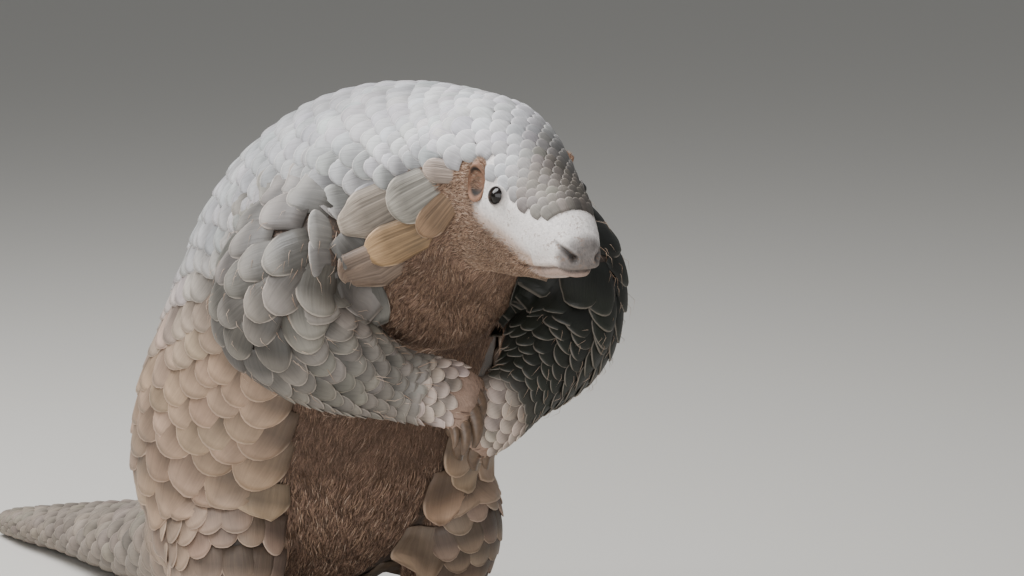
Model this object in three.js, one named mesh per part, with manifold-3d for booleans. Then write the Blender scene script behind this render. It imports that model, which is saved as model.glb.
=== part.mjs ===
// A pangolin standing upright on its hind legs, with its tail on the ground behind it
// and its forefeet held together under the chest.
// Millimetres, +Z up. The animal faces +X and its left side is +Y.

import * as THREE from "three";
import { mergeVertices } from "three/addons/utils/BufferGeometryUtils.js";
import Module from "manifold-3d";

const wasm = await Module();
wasm.setup();

// Driving dimensions
const GAP = 0.3; // clearance between two nodes that meet
const SOLE_SIDES = 8;
const SOLE_RINGS = 5;
const DIGIT_SIDES = 5;
const CLAW_RINGS = 3;
const EYE_RADIUS = 5.4;

// Small vector helpers
const vec = (x, y, z) => new THREE.Vector3(x, y, z);
const lerp = THREE.MathUtils.lerp;
const radians = THREE.MathUtils.degToRad;
const cross = (a, b) => vec(0, 0, 0).crossVectors(a, b);

// A body line is a centre line with an oval section at each station.
// wide is the half width, over the height to the outer side and under the depth on the other side.
// left is the direction of its left side, and cover the angle from the middle of the outer side,
// in degrees, to which its horny scales reach.
class BodyLine {
  constructor(stations, left) {
    const curve = (points) => new THREE.CatmullRomCurve3(points);
    this.last = stations.length - 1;
    this.centres = curve(stations.map((s) => vec(...s.at)));
    this.sizes = curve(stations.map((s) => vec(s.wide, s.over, s.under)));
    this.covers = stations.map((s) => s.cover);
    this.lefts = curve(stations.map((s) => (s.left ? s.left.clone() : left.clone())));
  }

  frame(u) {
    const t = THREE.MathUtils.clamp(u / this.last, 0, 1);
    const step = 0.004;
    const before = this.centres.getPoint(Math.max(0, t - step));
    const after = this.centres.getPoint(Math.min(1, t + step));
    const along = after.sub(before).normalize();
    const left = this.lefts.getPoint(t);
    const side = left.addScaledVector(along, -along.dot(left)).normalize();
    const outer = cross(side, along);
    return { centre: this.centres.getPoint(t), along, side, outer, size: this.sizes.getPoint(t) };
  }

  // The point of the skin at station u and angle phi, 0 on the outer side and positive to the left
  skin(u, phi, grow = 0) {
    const { centre, side, outer, size } = this.frame(u);
    const height = Math.cos(phi) > 0 ? size.y : size.z;
    return centre
      .addScaledVector(side, Math.sin(phi) * (size.x + grow))
      .addScaledVector(outer, Math.cos(phi) * (height + grow));
  }

  // The skin's directions there: backwards along the line, round it, and outwards
  lie(u, phi) {
    const du = 0.02;
    const dphi = 0.01;
    const back = this.skin(u + du, phi).sub(this.skin(u - du, phi)).divideScalar(2 * du);
    const round = this.skin(u, phi + dphi).sub(this.skin(u, phi - dphi)).divideScalar(2 * dphi);
    return { back, round, outward: cross(round, back).normalize() };
  }
}

// Solids
function solidOf(geometry) {
  const bare = geometry.clone();
  bare.deleteAttribute("normal");
  bare.deleteAttribute("uv");
  const merged = mergeVertices(bare, 1e-3);
  const triVerts = new Uint32Array(merged.index.array);
  const vertProperties = merged.attributes.position.array;
  const make = () => new wasm.Manifold(new wasm.Mesh({ numProp: 3, vertProperties, triVerts }));
  const made = make();
  if (made.volume() > 0) return made;
  for (let i = 0; i < triVerts.length; i += 3) {
    [triVerts[i + 1], triVerts[i + 2]] = [triVerts[i + 2], triVerts[i + 1]];
  }
  return make();
}

// Moves every vertex of a geometry to where rule(x, y, z) says
function shaped(geometry, rule) {
  const place = geometry.attributes.position;
  for (let i = 0; i < place.count; i++) {
    const p = rule(place.getX(i), place.getY(i), place.getZ(i));
    place.setXYZ(i, p.x, p.y, p.z);
  }
  return geometry;
}

function joined(solids) {
  if (solids.length === 1) return solids[0];
  const half = Math.ceil(solids.length / 2);
  return joined(solids.slice(0, half)).add(joined(solids.slice(half)));
}

function largest(solid) {
  return solid.decompose().reduce((best, one) => (one.volume() > best.volume() ? one : best));
}

// The solid of a body line between two stations, with flat ends
function tube(line, from, to, rings, sides, grow = 0) {
  const cylinder = new THREE.CylinderGeometry(1, 1, 1, sides, rings);
  return solidOf(
    shaped(cylinder, (x, y, z) => {
      const u = lerp(from, to, 0.5 - y);
      const onAxis = Math.hypot(x, z) < 0.5;
      return onAxis ? line.frame(u).centre : line.skin(u, Math.atan2(x, z), grow);
    }),
  );
}

// Horny scales. The skin of a line is laid in rows, and each row ends in a free edge that stands
// clear of the next one. The edge bulges backwards in a tooth for each scale, in four steps from
// notch to notch, and neighbouring rows are shifted by half a scale.
const TOOTH = [
  { reach: 1, lift: 1 },
  { reach: 0.78, lift: 0.9 },
  { reach: 0, lift: 0.4 },
  { reach: 0.78, lift: 0.9 },
];
const BULGE = 0.55; // depth of the notches over the distance between rows
const RISE = 0.17; // height of the free edge over the width of a scale

// A repeatable random number from -1 to 1 for a scale's row and column
function chance(row, column) {
  const wave = Math.sin(row * 127.1 + column * 311.7) * 43758.5453;
  return 2 * (wave - Math.floor(wave)) - 1;
}

// The scaly solid of a line between two stations, with its first scales after bare. columns is the
// number of scales across the cover and pitch the distance between rows over the width of a scale,
// but at least least. bareSides is the number of facets across the skin that has no scales.
function scaly(line, { from, bare = from, to, columns, pitch, least, bareSides }, grow = 0) {
  const clad = columns * 2;
  const half = clad + bareSides / 2;
  const coverAt = (u) => {
    const whole = Math.min(Math.floor(u), line.last - 1);
    return radians(lerp(line.covers[whole], line.covers[whole + 1], u - whole));
  };
  const edges = [];
  for (let u = bare; u < to; ) {
    const sides = [radians(-50), radians(50)].map((phi) => line.lie(u, phi));
    const round = (sides[0].round.length() + sides[1].round.length()) / 2;
    const back = (sides[0].back.length() + sides[1].back.length()) / 2;
    const width = (2 * coverAt(u) * round) / columns;
    const step = Math.max(width * pitch, least) / back;
    u += step;
    edges.push({ u: u + grow / back, step, rise: RISE * width });
  }
  edges[edges.length - 1].u = to;
  const sides = half * 2;
  const rings = edges.length * 2;
  return solidOf(
    shaped(new THREE.CylinderGeometry(1, 1, 1, sides, rings), (x, y, z) => {
      const ring = Math.round((0.5 - y) * rings);
      const row = Math.max(0, Math.floor((ring - 1) / 2));
      const end = ring === 0 || ring >= rings - 1;
      const edge = edges[row];
      const start = ring === 0 ? from : edge.u;
      if (Math.hypot(x, z) < 0.5) return line.frame(ring === rings ? to : start).centre;
      const place = Math.round((Math.atan2(x, z) / Math.PI) * half);
      const count = Math.abs(place);
      const scaled = count < clad && !end;
      const { reach, lift } = TOOTH[(count + 2 * (row % 2)) % TOOTH.length];
      const wild = 0.08 * chance(row, Math.round((place + 2 * (row % 2)) / TOOTH.length));
      const high = ring % 2 === 1;
      let u = start;
      if (scaled) u -= edge.step * BULGE * (1 - reach * (1 + wild));
      if (!scaled && !end) u += edge.step * (high ? -0.45 : 0);
      if (ring === rings - 1) u -= edge.step * 0.3;
      const cover = coverAt(u);
      const around =
        count <= clad ? (cover * count) / clad : lerp(cover, Math.PI, (count - clad) / (half - clad));
      const skin = line.skin(u, Math.sign(place) * around, grow);
      if (!scaled || !high) return skin;
      const { outward } = line.lie(u, Math.sign(place) * around);
      return skin.addScaledVector(outward, edge.rise * lift * (1 + 2 * wild));
    }),
  );
}

// An ellipsoid with its radii along the three directions of a turn
function ball(centre, radii, turn = new THREE.Quaternion(), detail = 10) {
  const sphere = new THREE.SphereGeometry(1, detail, Math.round(detail * 0.7));
  return solidOf(
    shaped(sphere, (x, y, z) =>
      vec(x * radii[0], y * radii[1], z * radii[2]).applyQuaternion(turn).add(centre),
    ),
  );
}

// A large box that fills the space behind a plane
function halfSpace(point, outward) {
  const size = 900;
  const box = new THREE.BoxGeometry(size, size, size);
  const turn = new THREE.Quaternion().setFromUnitVectors(vec(0, 0, 1), outward);
  return solidOf(
    shaped(box, (x, y, z) => vec(x, y, z - size / 2).applyQuaternion(turn).add(point)),
  );
}

const ABOVE_FLOOR = halfSpace(vec(0, 0, 0), vec(0, 0, -1));

// The trunk, from the nose over the crown and the humped back to the tip of the tail
const HIPS_LEFT = vec(Math.sin(radians(6)), Math.cos(radians(6)), 0); // the hips turn a little to the right
const TRUNK = new BodyLine(
  [
    { at: [271, 0, 270], wide: 8.5, over: 6, under: 8, cover: 14 }, // nose
    { at: [261, 0, 275], wide: 14.5, over: 12, under: 20, cover: 32 },
    { at: [243, 0, 284], wide: 20.5, over: 18, under: 34, cover: 62 }, // muzzle
    { at: [226, 0, 292], wide: 24, over: 22, under: 44, cover: 60 }, // eyes
    { at: [206, 0, 299], wide: 30, over: 28, under: 50, cover: 66 }, // ears
    { at: [180, 0, 304], wide: 37, over: 33, under: 56, cover: 80 }, // crown
    { at: [146, 0, 301], wide: 47, over: 38, under: 72, cover: 100 }, // nape and throat
    { at: [106, 0, 291], wide: 64, over: 48, under: 90, cover: 118 }, // shoulders and chest
    { at: [66, 0, 271], wide: 78, over: 65, under: 88, cover: 130 }, // hump
    { at: [33, 0, 239], wide: 87, over: 79, under: 80, cover: 138 },
    { at: [8, 0, 196], wide: 94, over: 84, under: 76, cover: 144 }, // waist
    { at: [-10, 0, 150], wide: 103, over: 85, under: 74, cover: 147, left: HIPS_LEFT }, // belly
    { at: [-30, 0, 106], wide: 102, over: 81, under: 64, cover: 150, left: HIPS_LEFT }, // hips
    { at: [-64, 0, 72], wide: 81, over: 58, under: 50, cover: 165, left: HIPS_LEFT }, // rump
    { at: [-110, -2, 48], wide: 58, over: 39, under: 36, cover: 180 }, // tail root
    { at: [-163, -7, 32], wide: 50, over: 29, under: 28, cover: 180 },
    { at: [-221, -16, 21.5], wide: 43, over: 22, under: 20, cover: 180 }, // middle of the tail
    { at: [-280, -30, 16], wide: 34, over: 16, under: 14.5, cover: 180 },
    { at: [-331, -47, 11], wide: 25, over: 10, under: 9.8, cover: 180 },
    { at: [-362, -60, 8], wide: 13, over: 6, under: 6.8, cover: 180 }, // tip of the tail
  ],
  vec(0, 1, 0),
);

// The trunk's lengths, cut square across between these stations
const LENGTHS = [
  { name: "head", from: 0, to: 4.9 },
  { name: "neck", from: 4.9, to: 6.6 },
  { name: "torso_front", from: 6.6, to: 9.5 },
  { name: "torso_rear", from: 9.5, to: 13.2 },
  { name: "tail_base", from: 13.2, to: 15 },
  { name: "tail_middle", from: 15, to: 17 },
  { name: "tail_tip", from: 17, to: TRUNK.last },
];

// Limbs, laid out for the right side. out is the direction of the limb's outer side.
const RIGHT_ARM = [
  { at: [76, -40, 270], wide: 34, over: 26, under: 30, out: [-0.2, -0.9, 0.5], cover: 100 }, // shoulder
  { at: [90, -62, 252], wide: 44, over: 34, under: 38, out: [-0.2, -0.9, 0.4], cover: 110 },
  { at: [104, -79, 228], wide: 41, over: 36, under: 36, out: [0, -1, 0.1], cover: 115 }, // upper arm
  { at: [119, -73, 211], wide: 30, over: 31, under: 28, out: [0.3, -0.95, 0], cover: 110 }, // elbow
  { at: [132, -52, 196], wide: 23, over: 24, under: 21, out: [0.5, -0.8, 0.3], cover: 100 }, // forearm
  { at: [144, -31, 188], wide: 18, over: 15, under: 14, out: [0.5, -0.6, 0.65], cover: 85 }, // wrist
  { at: [152, -22, 186], wide: 20, over: 14, under: 12, out: [0.45, -0.45, 0.8], cover: 70 },
  { at: [160, -13, 184], wide: 21, over: 11, under: 10, out: [0.45, -0.4, 0.8], cover: 60 }, // knuckles
  { at: [164, -9, 182.5], wide: 18, over: 8, under: 8, out: [0.45, -0.4, 0.8], cover: 50 },
];
const LEFT_ARM = [
  { at: [76, 40, 270], wide: 34, over: 26, under: 30, out: [-0.2, 0.9, 0.5], cover: 100 },
  { at: [90, 62, 252], wide: 44, over: 34, under: 38, out: [-0.2, 0.9, 0.4], cover: 110 },
  { at: [107, 79, 230], wide: 42, over: 36, under: 38, out: [0, 1, 0.1], cover: 115 },
  { at: [124, 73, 207], wide: 32, over: 31, under: 32, out: [0.3, 0.95, 0], cover: 110 },
  { at: [142, 51, 191], wide: 24, over: 23, under: 24, out: [0.6, 0.75, 0.1], cover: 100 },
  { at: [153, 30, 180], wide: 18, over: 15, under: 15, out: [0.85, 0.3, 0.1], cover: 85 },
  { at: [153, 20, 173], wide: 19, over: 13, under: 12, out: [0.92, -0.1, 0], cover: 70 },
  { at: [151, 11, 166], wide: 19, over: 11, under: 10, out: [0.92, -0.3, 0], cover: 60 },
  { at: [149, 7, 163], wide: 16, over: 8, under: 8, out: [0.92, -0.35, 0], cover: 50 },
];
const RIGHT_LEG = [
  { at: [-42, -46, 118], wide: 46, over: 36, under: 40, out: [-0.3, -1, 0.3], cover: 110 }, // hip
  { at: [-22, -60, 98], wide: 48, over: 36, under: 42, out: [0, -1, 0.2], cover: 115 }, // thigh
  { at: [2, -68, 74], wide: 38, over: 32, under: 34, out: [0.1, -1, 0], cover: 115 }, // knee
  { at: [-4, -71, 48], wide: 28, over: 26, under: 26, out: [0, -1, 0], cover: 110 }, // shin
  { at: [-18, -73, 24], wide: 22, over: 20, under: 20, out: [0, -1, 0], cover: 100 }, // ankle
];
const RIGHT_FOOT = [
  { at: [-40, -73, 16], wide: 8, over: 8, under: 8, out: [0, 0, 1], cover: 60 }, // heel
  { at: [-29, -73, 17], wide: 18, over: 15, under: 18, out: [0, 0, 1], cover: 70 },
  { at: [-10, -74, 17], wide: 22, over: 18, under: 18, out: [0, 0, 1], cover: 75 },
  { at: [13, -76, 13], wide: 24, over: 15, under: 15, out: [0.2, 0, 1], cover: 65 }, // sole
  { at: [31, -78, 9], wide: 24, over: 10, under: 11, out: [0.2, 0, 1], cover: 55 },
  { at: [37, -79, 8], wide: 21, over: 7, under: 9, out: [0.2, 0, 1], cover: 50 }, // roots of the toes
];

// Adds each station's left direction, worked out from its outer side
function facing(stations) {
  return stations.map((station, i) => {
    const before = vec(...stations[Math.max(0, i - 1)].at);
    const after = vec(...stations[Math.min(stations.length - 1, i + 1)].at);
    return { ...station, left: cross(after.sub(before), vec(...station.out)).normalize() };
  });
}

const mirrored = (stations) =>
  stations.map((s) => ({
    ...s,
    at: [s.at[0], -s.at[1], s.at[2]],
    out: [s.out[0], -s.out[1], s.out[2]],
  }));

const limbLine = (stations) => new BodyLine(facing(stations), vec(0, 1, 0));

// Five digits across the end of a foot, from its left edge to its right.
// aside is the place across the foot as a share of its half width, fan the turn outwards,
// toe the length of the fleshy toe and claw that of its claw.
const FORE_DIGITS = [
  { aside: -0.95, fan: -26, toe: 6.5, claw: 7, thick: 3.3 },
  { aside: -0.52, fan: -14, toe: 8, claw: 14, thick: 5.2 },
  { aside: 0.02, fan: 0, toe: 9, claw: 18, thick: 6.2 },
  { aside: 0.56, fan: 13, toe: 8, claw: 14, thick: 5.2 },
  { aside: 0.95, fan: 25, toe: 6.5, claw: 7, thick: 3.3 },
];
const HIND_DIGITS = [
  { aside: -0.8, fan: -16, toe: 5, claw: 9, thick: 4 },
  { aside: -0.42, fan: -8, toe: 9, claw: 12, thick: 4.7 },
  { aside: -0.02, fan: 0, toe: 10, claw: 13, thick: 5 },
  { aside: 0.4, fan: 8, toe: 9, claw: 12, thick: 4.7 },
  { aside: 0.8, fan: 16, toe: 5, claw: 8, thick: 4 },
];

const ARM_COAT = { columns: 5, pitch: 0.85, least: 16, bareSides: 2 };
const LEG_COAT = { columns: 4, pitch: 0.9, least: 22, bareSides: 2 };

// How a foot's claws hang: down is the way they bend, droop the angle at their roots and
// curl the further turn to their tips, in degrees.
const LIMBS = [
  {
    side: "right",
    leg: limbLine(RIGHT_ARM),
    parts: ["upper_arm", "forearm"],
    cuts: [0, 2.7, 5],
    coat: ARM_COAT,
    foot: "forefoot",
    claws: { name: "foreclaw", digits: FORE_DIGITS, down: vec(0.25, -0.1, -1), droop: 35, curl: 57 },
  },
  {
    side: "left",
    leg: limbLine(LEFT_ARM),
    parts: ["upper_arm", "forearm"],
    cuts: [0, 2.7, 5],
    coat: ARM_COAT,
    foot: "forefoot",
    claws: { name: "foreclaw", digits: FORE_DIGITS, down: vec(-0.6, 0.1, -0.8), droop: 25, curl: 60 },
  },
  {
    side: "right",
    leg: limbLine(RIGHT_LEG),
    sole: limbLine(RIGHT_FOOT),
    parts: ["thigh", "shin"],
    cuts: [0, 2.2, 3.4],
    coat: LEG_COAT,
    foot: "hindfoot",
    claws: { name: "hindclaw", digits: HIND_DIGITS, down: vec(0, 0, -1), droop: 0, curl: 38 },
  },
  {
    side: "left",
    leg: limbLine(mirrored(RIGHT_LEG)),
    sole: limbLine(mirrored(RIGHT_FOOT)),
    parts: ["thigh", "shin"],
    cuts: [0, 2.2, 3.4],
    coat: LEG_COAT,
    foot: "hindfoot",
    claws: { name: "hindclaw", digits: HIND_DIGITS, down: vec(0, 0, -1), droop: 0, curl: 38 },
  },
];

// Nodes
const COLOURS = {
  scales: { color: 0x8d8c88, roughness: 0.55 },
  skin: { color: 0xc9b3a6, roughness: 0.8 },
  claw: { color: 0xa88a68, roughness: 0.45 },
  eye: { color: 0x0b0908, roughness: 0.08 },
};
const nodes = new Map();

function addNode(name, look, solid) {
  nodes.set(name, { look, solid: largest(solid.intersect(ABOVE_FLOOR)) });
}

// Cuts one length out of a solid that follows a line, leaving the clearance at each cut
function lengthOf(solid, line, from, to) {
  let part = solid;
  if (from > 0) {
    const { centre, along } = line.frame(from);
    part = part.subtract(halfSpace(centre.addScaledVector(along, GAP / 2), along));
  }
  if (to < line.last) {
    const { centre, along } = line.frame(to);
    part = part.intersect(halfSpace(centre.addScaledVector(along, -GAP / 2), along));
  }
  return part;
}

// A toe and its claw, both along one curve that leaves the foot forwards and bends down
function digit(root, forward, down, { toe, claw, thick }, droop, curl) {
  const turnTo = (angle) =>
    forward
      .clone()
      .multiplyScalar(Math.cos(radians(angle)))
      .addScaledVector(down, Math.sin(radians(angle)));
  const out = down.clone().negate().toArray();
  const start = root.clone().addScaledVector(forward, -thick * 1.5);
  const place = root.clone().addScaledVector(turnTo(droop), toe);
  const toeLine = limbLine([
    { at: start.toArray(), out, wide: thick * 1.2, over: thick * 1.1, under: thick * 1.1 },
    { at: root.toArray(), out, wide: thick * 1.2, over: thick * 1.15, under: thick * 1.15 },
    { at: place.toArray(), out, wide: thick * 0.8, over: thick * 0.9, under: thick * 0.9 },
  ]);
  const steps = 4;
  const horn = [];
  for (let i = 0; i <= steps; i++) {
    const share = i / steps;
    const slim = thick * (1 - 0.76 * share ** 2.2);
    horn.push({ at: place.toArray(), out, wide: 0.72 * slim, over: 0.85 * slim, under: 0.75 * slim });
    place.addScaledVector(turnTo(droop + curl * (share + 0.5 / steps)), claw / steps);
  }
  return {
    toe: tube(toeLine, 0, toeLine.last, 2, DIGIT_SIDES),
    toeRoom: tube(toeLine, 0, toeLine.last, 2, DIGIT_SIDES, GAP),
    claw: tube(limbLine(horn), 0, steps, CLAW_RINGS, DIGIT_SIDES),
  };
}

// The face: nose pad, nostrils, mouth line and eyelids
const SIDES = [
  ["right", -1],
  ["left", 1],
];
const mirror = (point, sign) => vec(point.x, -sign * point.y, point.z);
const EYE = { at: vec(225.4, -21.4, 296), facing: vec(0.32, -0.92, 0.22) };
const EAR = { at: vec(211.4, -25.6, 302.6), hollow: vec(2.2, -4.8, -0.5) };
const NOSE = { at: vec(262.5, 0, 269.5), radii: [9.5, 12, 9.5], nostril: vec(269, -6, 271.5) };
const MOUTH = [
  [230, 264.5],
  [243, 262.8],
  [259, 264.6],
  [268, 263.8],
  [277, 264],
];

function mouthGroove() {
  const half = 0.7;
  const upper = MOUTH.map(([x, z]) => new THREE.Vector2(x, z + half));
  const lower = MOUTH.map(([x, z]) => new THREE.Vector2(x, z - half)).reverse();
  const breadth = 60;
  const band = new THREE.ExtrudeGeometry(new THREE.Shape([...upper, ...lower]), {
    depth: breadth,
    bevelEnabled: false,
  });
  const depth = 2;
  const inside = tube(TRUNK, 0, 4, 4, 12, -depth);
  return solidOf(shaped(band, (x, y, z) => vec(x, z - breadth / 2, y))).subtract(inside);
}

function eyelids(sign, grow = 0) {
  const ring = [];
  const around = 5;
  for (let i = 0; i <= around; i++) {
    const angle = (i / around) * 2 * Math.PI;
    const fold = 1.6 + grow;
    ring.push(new THREE.Vector2(4.9 + fold * Math.cos(angle), fold * Math.sin(angle)));
  }
  const outward = mirror(EYE.facing, sign).normalize();
  const turn = new THREE.Quaternion().setFromUnitVectors(vec(0, 1, 0), outward);
  const centre = mirror(EYE.at, sign).addScaledVector(outward, 2.4);
  return solidOf(
    shaped(new THREE.LatheGeometry(ring, 10), (x, y, z) =>
      vec(x, y, z).applyQuaternion(turn).add(centre),
    ),
  );
}

function ear(sign) {
  const turn = new THREE.Quaternion().setFromAxisAngle(vec(1, 0, 0), sign * radians(14));
  const centre = mirror(EAR.at, sign);
  const rim = ball(centre, [4.4, 6, 10.8], turn);
  return rim.subtract(ball(centre.clone().add(mirror(EAR.hollow, sign)), [3.2, 5.2, 8.6], turn));
}

function withFace(head) {
  let face = head.add(ball(NOSE.at, NOSE.radii)).subtract(mouthGroove());
  for (const [, sign] of SIDES) {
    const socket = EYE_RADIUS + GAP;
    face = face
      .subtract(ball(mirror(NOSE.nostril, sign), [3.5, 1.7, 2.2], undefined, 7))
      .add(eyelids(sign))
      .subtract(ball(mirror(EYE.at, sign), [socket, socket, socket]));
  }
  return face;
}

// The trunk in three runs: head, body and tail
const RUNS = [
  { lengths: LENGTHS.slice(0, 1), bare: 1, columns: 5, pitch: 0.8, least: 12, bareSides: 6 },
  { lengths: LENGTHS.slice(1, 4), columns: 9, pitch: 0.76, least: 18, bareSides: 4 },
  { lengths: LENGTHS.slice(4), columns: 7, pitch: 0.78, least: 20, bareSides: 0 },
];
for (const run of RUNS) {
  run.from = run.lengths[0].from;
  run.to = run.lengths[run.lengths.length - 1].to;
}
const TRUNK_GROWN = joined(RUNS.map((run) => scaly(TRUNK, run, 1.4 * GAP)));
for (const run of RUNS) {
  const solid = scaly(TRUNK, run);
  for (const { name, from, to } of run.lengths) {
    const part = lengthOf(solid, TRUNK, from, to);
    addNode(name, "scales", name === "head" ? withFace(part) : part);
  }
}

for (const [side, sign] of SIDES) {
  addNode(`ear_${side}`, "skin", ear(sign).subtract(TRUNK_GROWN).subtract(eyelids(sign, GAP)));
  addNode(`eye_${side}`, "eye", ball(mirror(EYE.at, sign), [EYE_RADIUS, EYE_RADIUS, EYE_RADIUS]));
}
for (const { side, leg, sole, parts, cuts, coat, foot, claws } of LIMBS) {
  const legSolid = scaly(leg, { from: 0, bare: 0.6, to: leg.last, ...coat }).subtract(TRUNK_GROWN);
  parts.forEach((name, i) => {
    const part = lengthOf(legSolid, leg, cuts[i], cuts[i + 1]);
    const solePart = sole ? part.subtract(tube(sole, 0, sole.last, SOLE_RINGS, SOLE_SIDES, GAP)) : part;
    addNode(`${name}_${side}`, "scales", solePart);
  });

  const footLine = sole ?? leg;
  const { centre, along, side: across, size } = footLine.frame(footLine.last);
  const down = claws.down.clone().addScaledVector(along, -along.dot(claws.down)).normalize();
  const ankle = lengthOf(legSolid, leg, cuts[2], leg.last);
  const pieces = [sole ? tube(sole, 0, sole.last, SOLE_RINGS, SOLE_SIDES).add(ankle) : ankle];
  const digits = claws.digits.map((spec) => {
    const forward = along
      .clone()
      .multiplyScalar(Math.cos(radians(spec.fan)))
      .addScaledVector(across, Math.sin(radians(spec.fan)));
    const root = centre.clone().addScaledVector(across, spec.aside * size.x * 0.9);
    return digit(root, forward, down, spec, claws.droop, claws.curl);
  });
  const toeRooms = joined(digits.map((one) => one.toeRoom));
  digits.forEach(({ toe, claw }, i) => {
    pieces.push(toe);
    addNode(`${claws.name}_${side}_${i + 1}`, "claw", claw.subtract(toeRooms));
  });
  addNode(`${foot}_${side}`, "skin", joined(pieces));
}

function meshOf(name, { look, solid }) {
  const { vertProperties, triVerts, numProp } = solid.getMesh();
  const vertices = new Float32Array(triVerts.length * 3);
  triVerts.forEach((v, i) => {
    for (let k = 0; k < 3; k++) vertices[3 * i + k] = vertProperties[v * numProp + k];
  });
  const geometry = new THREE.BufferGeometry();
  geometry.setAttribute("position", new THREE.BufferAttribute(vertices, 3));
  geometry.computeVertexNormals();
  const material = new THREE.MeshStandardMaterial({ ...COLOURS[look], metalness: 0 });
  const mesh = new THREE.Mesh(geometry, material);
  mesh.name = name;
  return mesh;
}

const pangolin = new THREE.Group();
for (const [name, node] of nodes) {
  pangolin.add(meshOf(name, node));
}

// The origin is on the floor, under the middle of the whole animal's box
const box = new THREE.Box3().setFromObject(pangolin);
const middle = box.getCenter(vec(0, 0, 0));
pangolin.position.set(-middle.x, -middle.y, -box.min.z);

export default pangolin;
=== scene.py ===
# %% [markdown]
# # A pangolin standing on its hind legs
# The animal is a still, life-size model. Its soft body is one skin, and everything on it is real
# mesh: horny scales laid like roof tiles, short hair in tufts, claws, eyes and ear cups.
# Lengths are worked out in millimetres, in the animal's own frame: +X is its front, +Y its left
# and +Z up. They become metres in the shared frame only when an object is made.

import math

import bmesh
import bpy
import numpy as np
from mathutils import Matrix, Vector
from mathutils.bvhtree import BVHTree


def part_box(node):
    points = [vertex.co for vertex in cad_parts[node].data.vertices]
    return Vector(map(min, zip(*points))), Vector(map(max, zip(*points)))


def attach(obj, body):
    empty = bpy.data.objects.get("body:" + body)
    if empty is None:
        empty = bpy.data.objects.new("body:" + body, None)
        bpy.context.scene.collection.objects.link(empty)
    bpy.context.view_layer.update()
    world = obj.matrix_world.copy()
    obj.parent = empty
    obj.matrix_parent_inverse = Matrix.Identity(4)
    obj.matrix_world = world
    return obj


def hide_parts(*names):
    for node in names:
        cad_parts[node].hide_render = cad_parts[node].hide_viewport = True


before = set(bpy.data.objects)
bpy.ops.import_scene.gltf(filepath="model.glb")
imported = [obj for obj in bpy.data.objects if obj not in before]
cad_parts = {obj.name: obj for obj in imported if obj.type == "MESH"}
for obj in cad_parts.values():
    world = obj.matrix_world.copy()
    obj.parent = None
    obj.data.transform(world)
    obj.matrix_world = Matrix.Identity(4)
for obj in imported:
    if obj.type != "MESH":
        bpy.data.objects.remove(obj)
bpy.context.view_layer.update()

EYE_SPOT = Vector((225.4, -21.4, 296))
EYE_AT = np.array(EYE_SPOT)
EYE_FACING = np.array(Vector((0.32, -0.92, 0.22)).normalized())
EYE_RADIUS = 5.4
SIDES = {"right": (1, 1, 1), "left": (1, -1, 1)}  # what turns a spot of the right side into each side's

eye_low, eye_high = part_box("eye_right")
SHIFT = (Vector(eye_low) + Vector(eye_high)) * 500 - EYE_SPOT  # the middle of the box, in mm


def metres(points):
    """Points of the animal's frame in millimetres, as points of the shared frame in metres."""
    return (np.asarray(points, float) + np.array(SHIFT)) / 1000


def millimetres(points):
    return np.asarray(points, float) * 1000 - np.array(SHIFT)


# %% [markdown]
# The camera comes first, because every later choice is judged through it. It stands in front of the
# animal and to its right, a little above its head, with a long lens, so the far arm is hardly
# smaller than the near one. The picture cuts the animal off below the belly, as the photograph does.

# %% Camera
TARGET = (200, 0, 245)
AZIMUTH, ELEVATION, DISTANCE = math.radians(60), math.radians(10), 1500

towards_camera = Vector(
    (
        math.sin(AZIMUTH) * math.cos(ELEVATION),
        -math.cos(AZIMUTH) * math.cos(ELEVATION),
        math.sin(ELEVATION),
    )
)
camera_data = bpy.data.cameras.new("camera")
camera_data.sensor_width = 36
camera_data.lens = 105.5
camera_data.clip_end = 50
camera = bpy.data.objects.new("camera", camera_data)
camera.location = metres(Vector(TARGET) + towards_camera * DISTANCE)
camera.rotation_euler = towards_camera.to_track_quat("Z", "Y").to_euler()
bpy.context.collection.objects.link(camera)
bpy.context.scene.camera = camera

# %% [markdown]
# An animal's trunk and limbs are easiest to describe as body lines: a smooth centre line with an oval
# section at each station. The numbers are the ones that the solids were made from, so the skin
# and the scales follow the same form. A station holds the centre, then the half width, the height
# to the outer side and the depth to the inner one, and last how far the scales reach round it, in
# degrees from the middle of the outer side.


# %% Body lines
def spline(points, samples=1500):
    """A centripetal Catmull-Rom curve through the points, sampled evenly from station to station."""
    points = np.array(points, float)
    ends = [2 * points[:1] - points[1:2], 2 * points[-1:] - points[-2:-1]]
    padded = np.concatenate([ends[0], points, ends[1]])
    u = np.linspace(0, len(points) - 1, samples)
    whole = np.minimum(u.astype(int), len(points) - 2)
    w = (u - whole)[:, None]
    p0, p1, p2, p3 = (padded[whole + k] for k in range(4))
    runs = (p1 - p0, p2 - p1, p3 - p2)
    d0, d1, d2 = (np.maximum(np.sum(run**2, axis=1, keepdims=True) ** 0.25, 1e-4) for run in runs)
    t1 = ((p1 - p0) / d0 - (p2 - p0) / (d0 + d1) + (p2 - p1) / d1) * d1
    t2 = ((p2 - p1) / d1 - (p3 - p1) / (d1 + d2) + (p3 - p2) / d2) * d1
    return p1 + t1 * w + (-3 * p1 + 3 * p2 - 2 * t1 - t2) * w**2 + (2 * p1 - 2 * p2 + t1 + t2) * w**3


def unit(vectors):
    return vectors / np.maximum(np.linalg.norm(vectors, axis=-1, keepdims=True), 1e-9)


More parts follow.
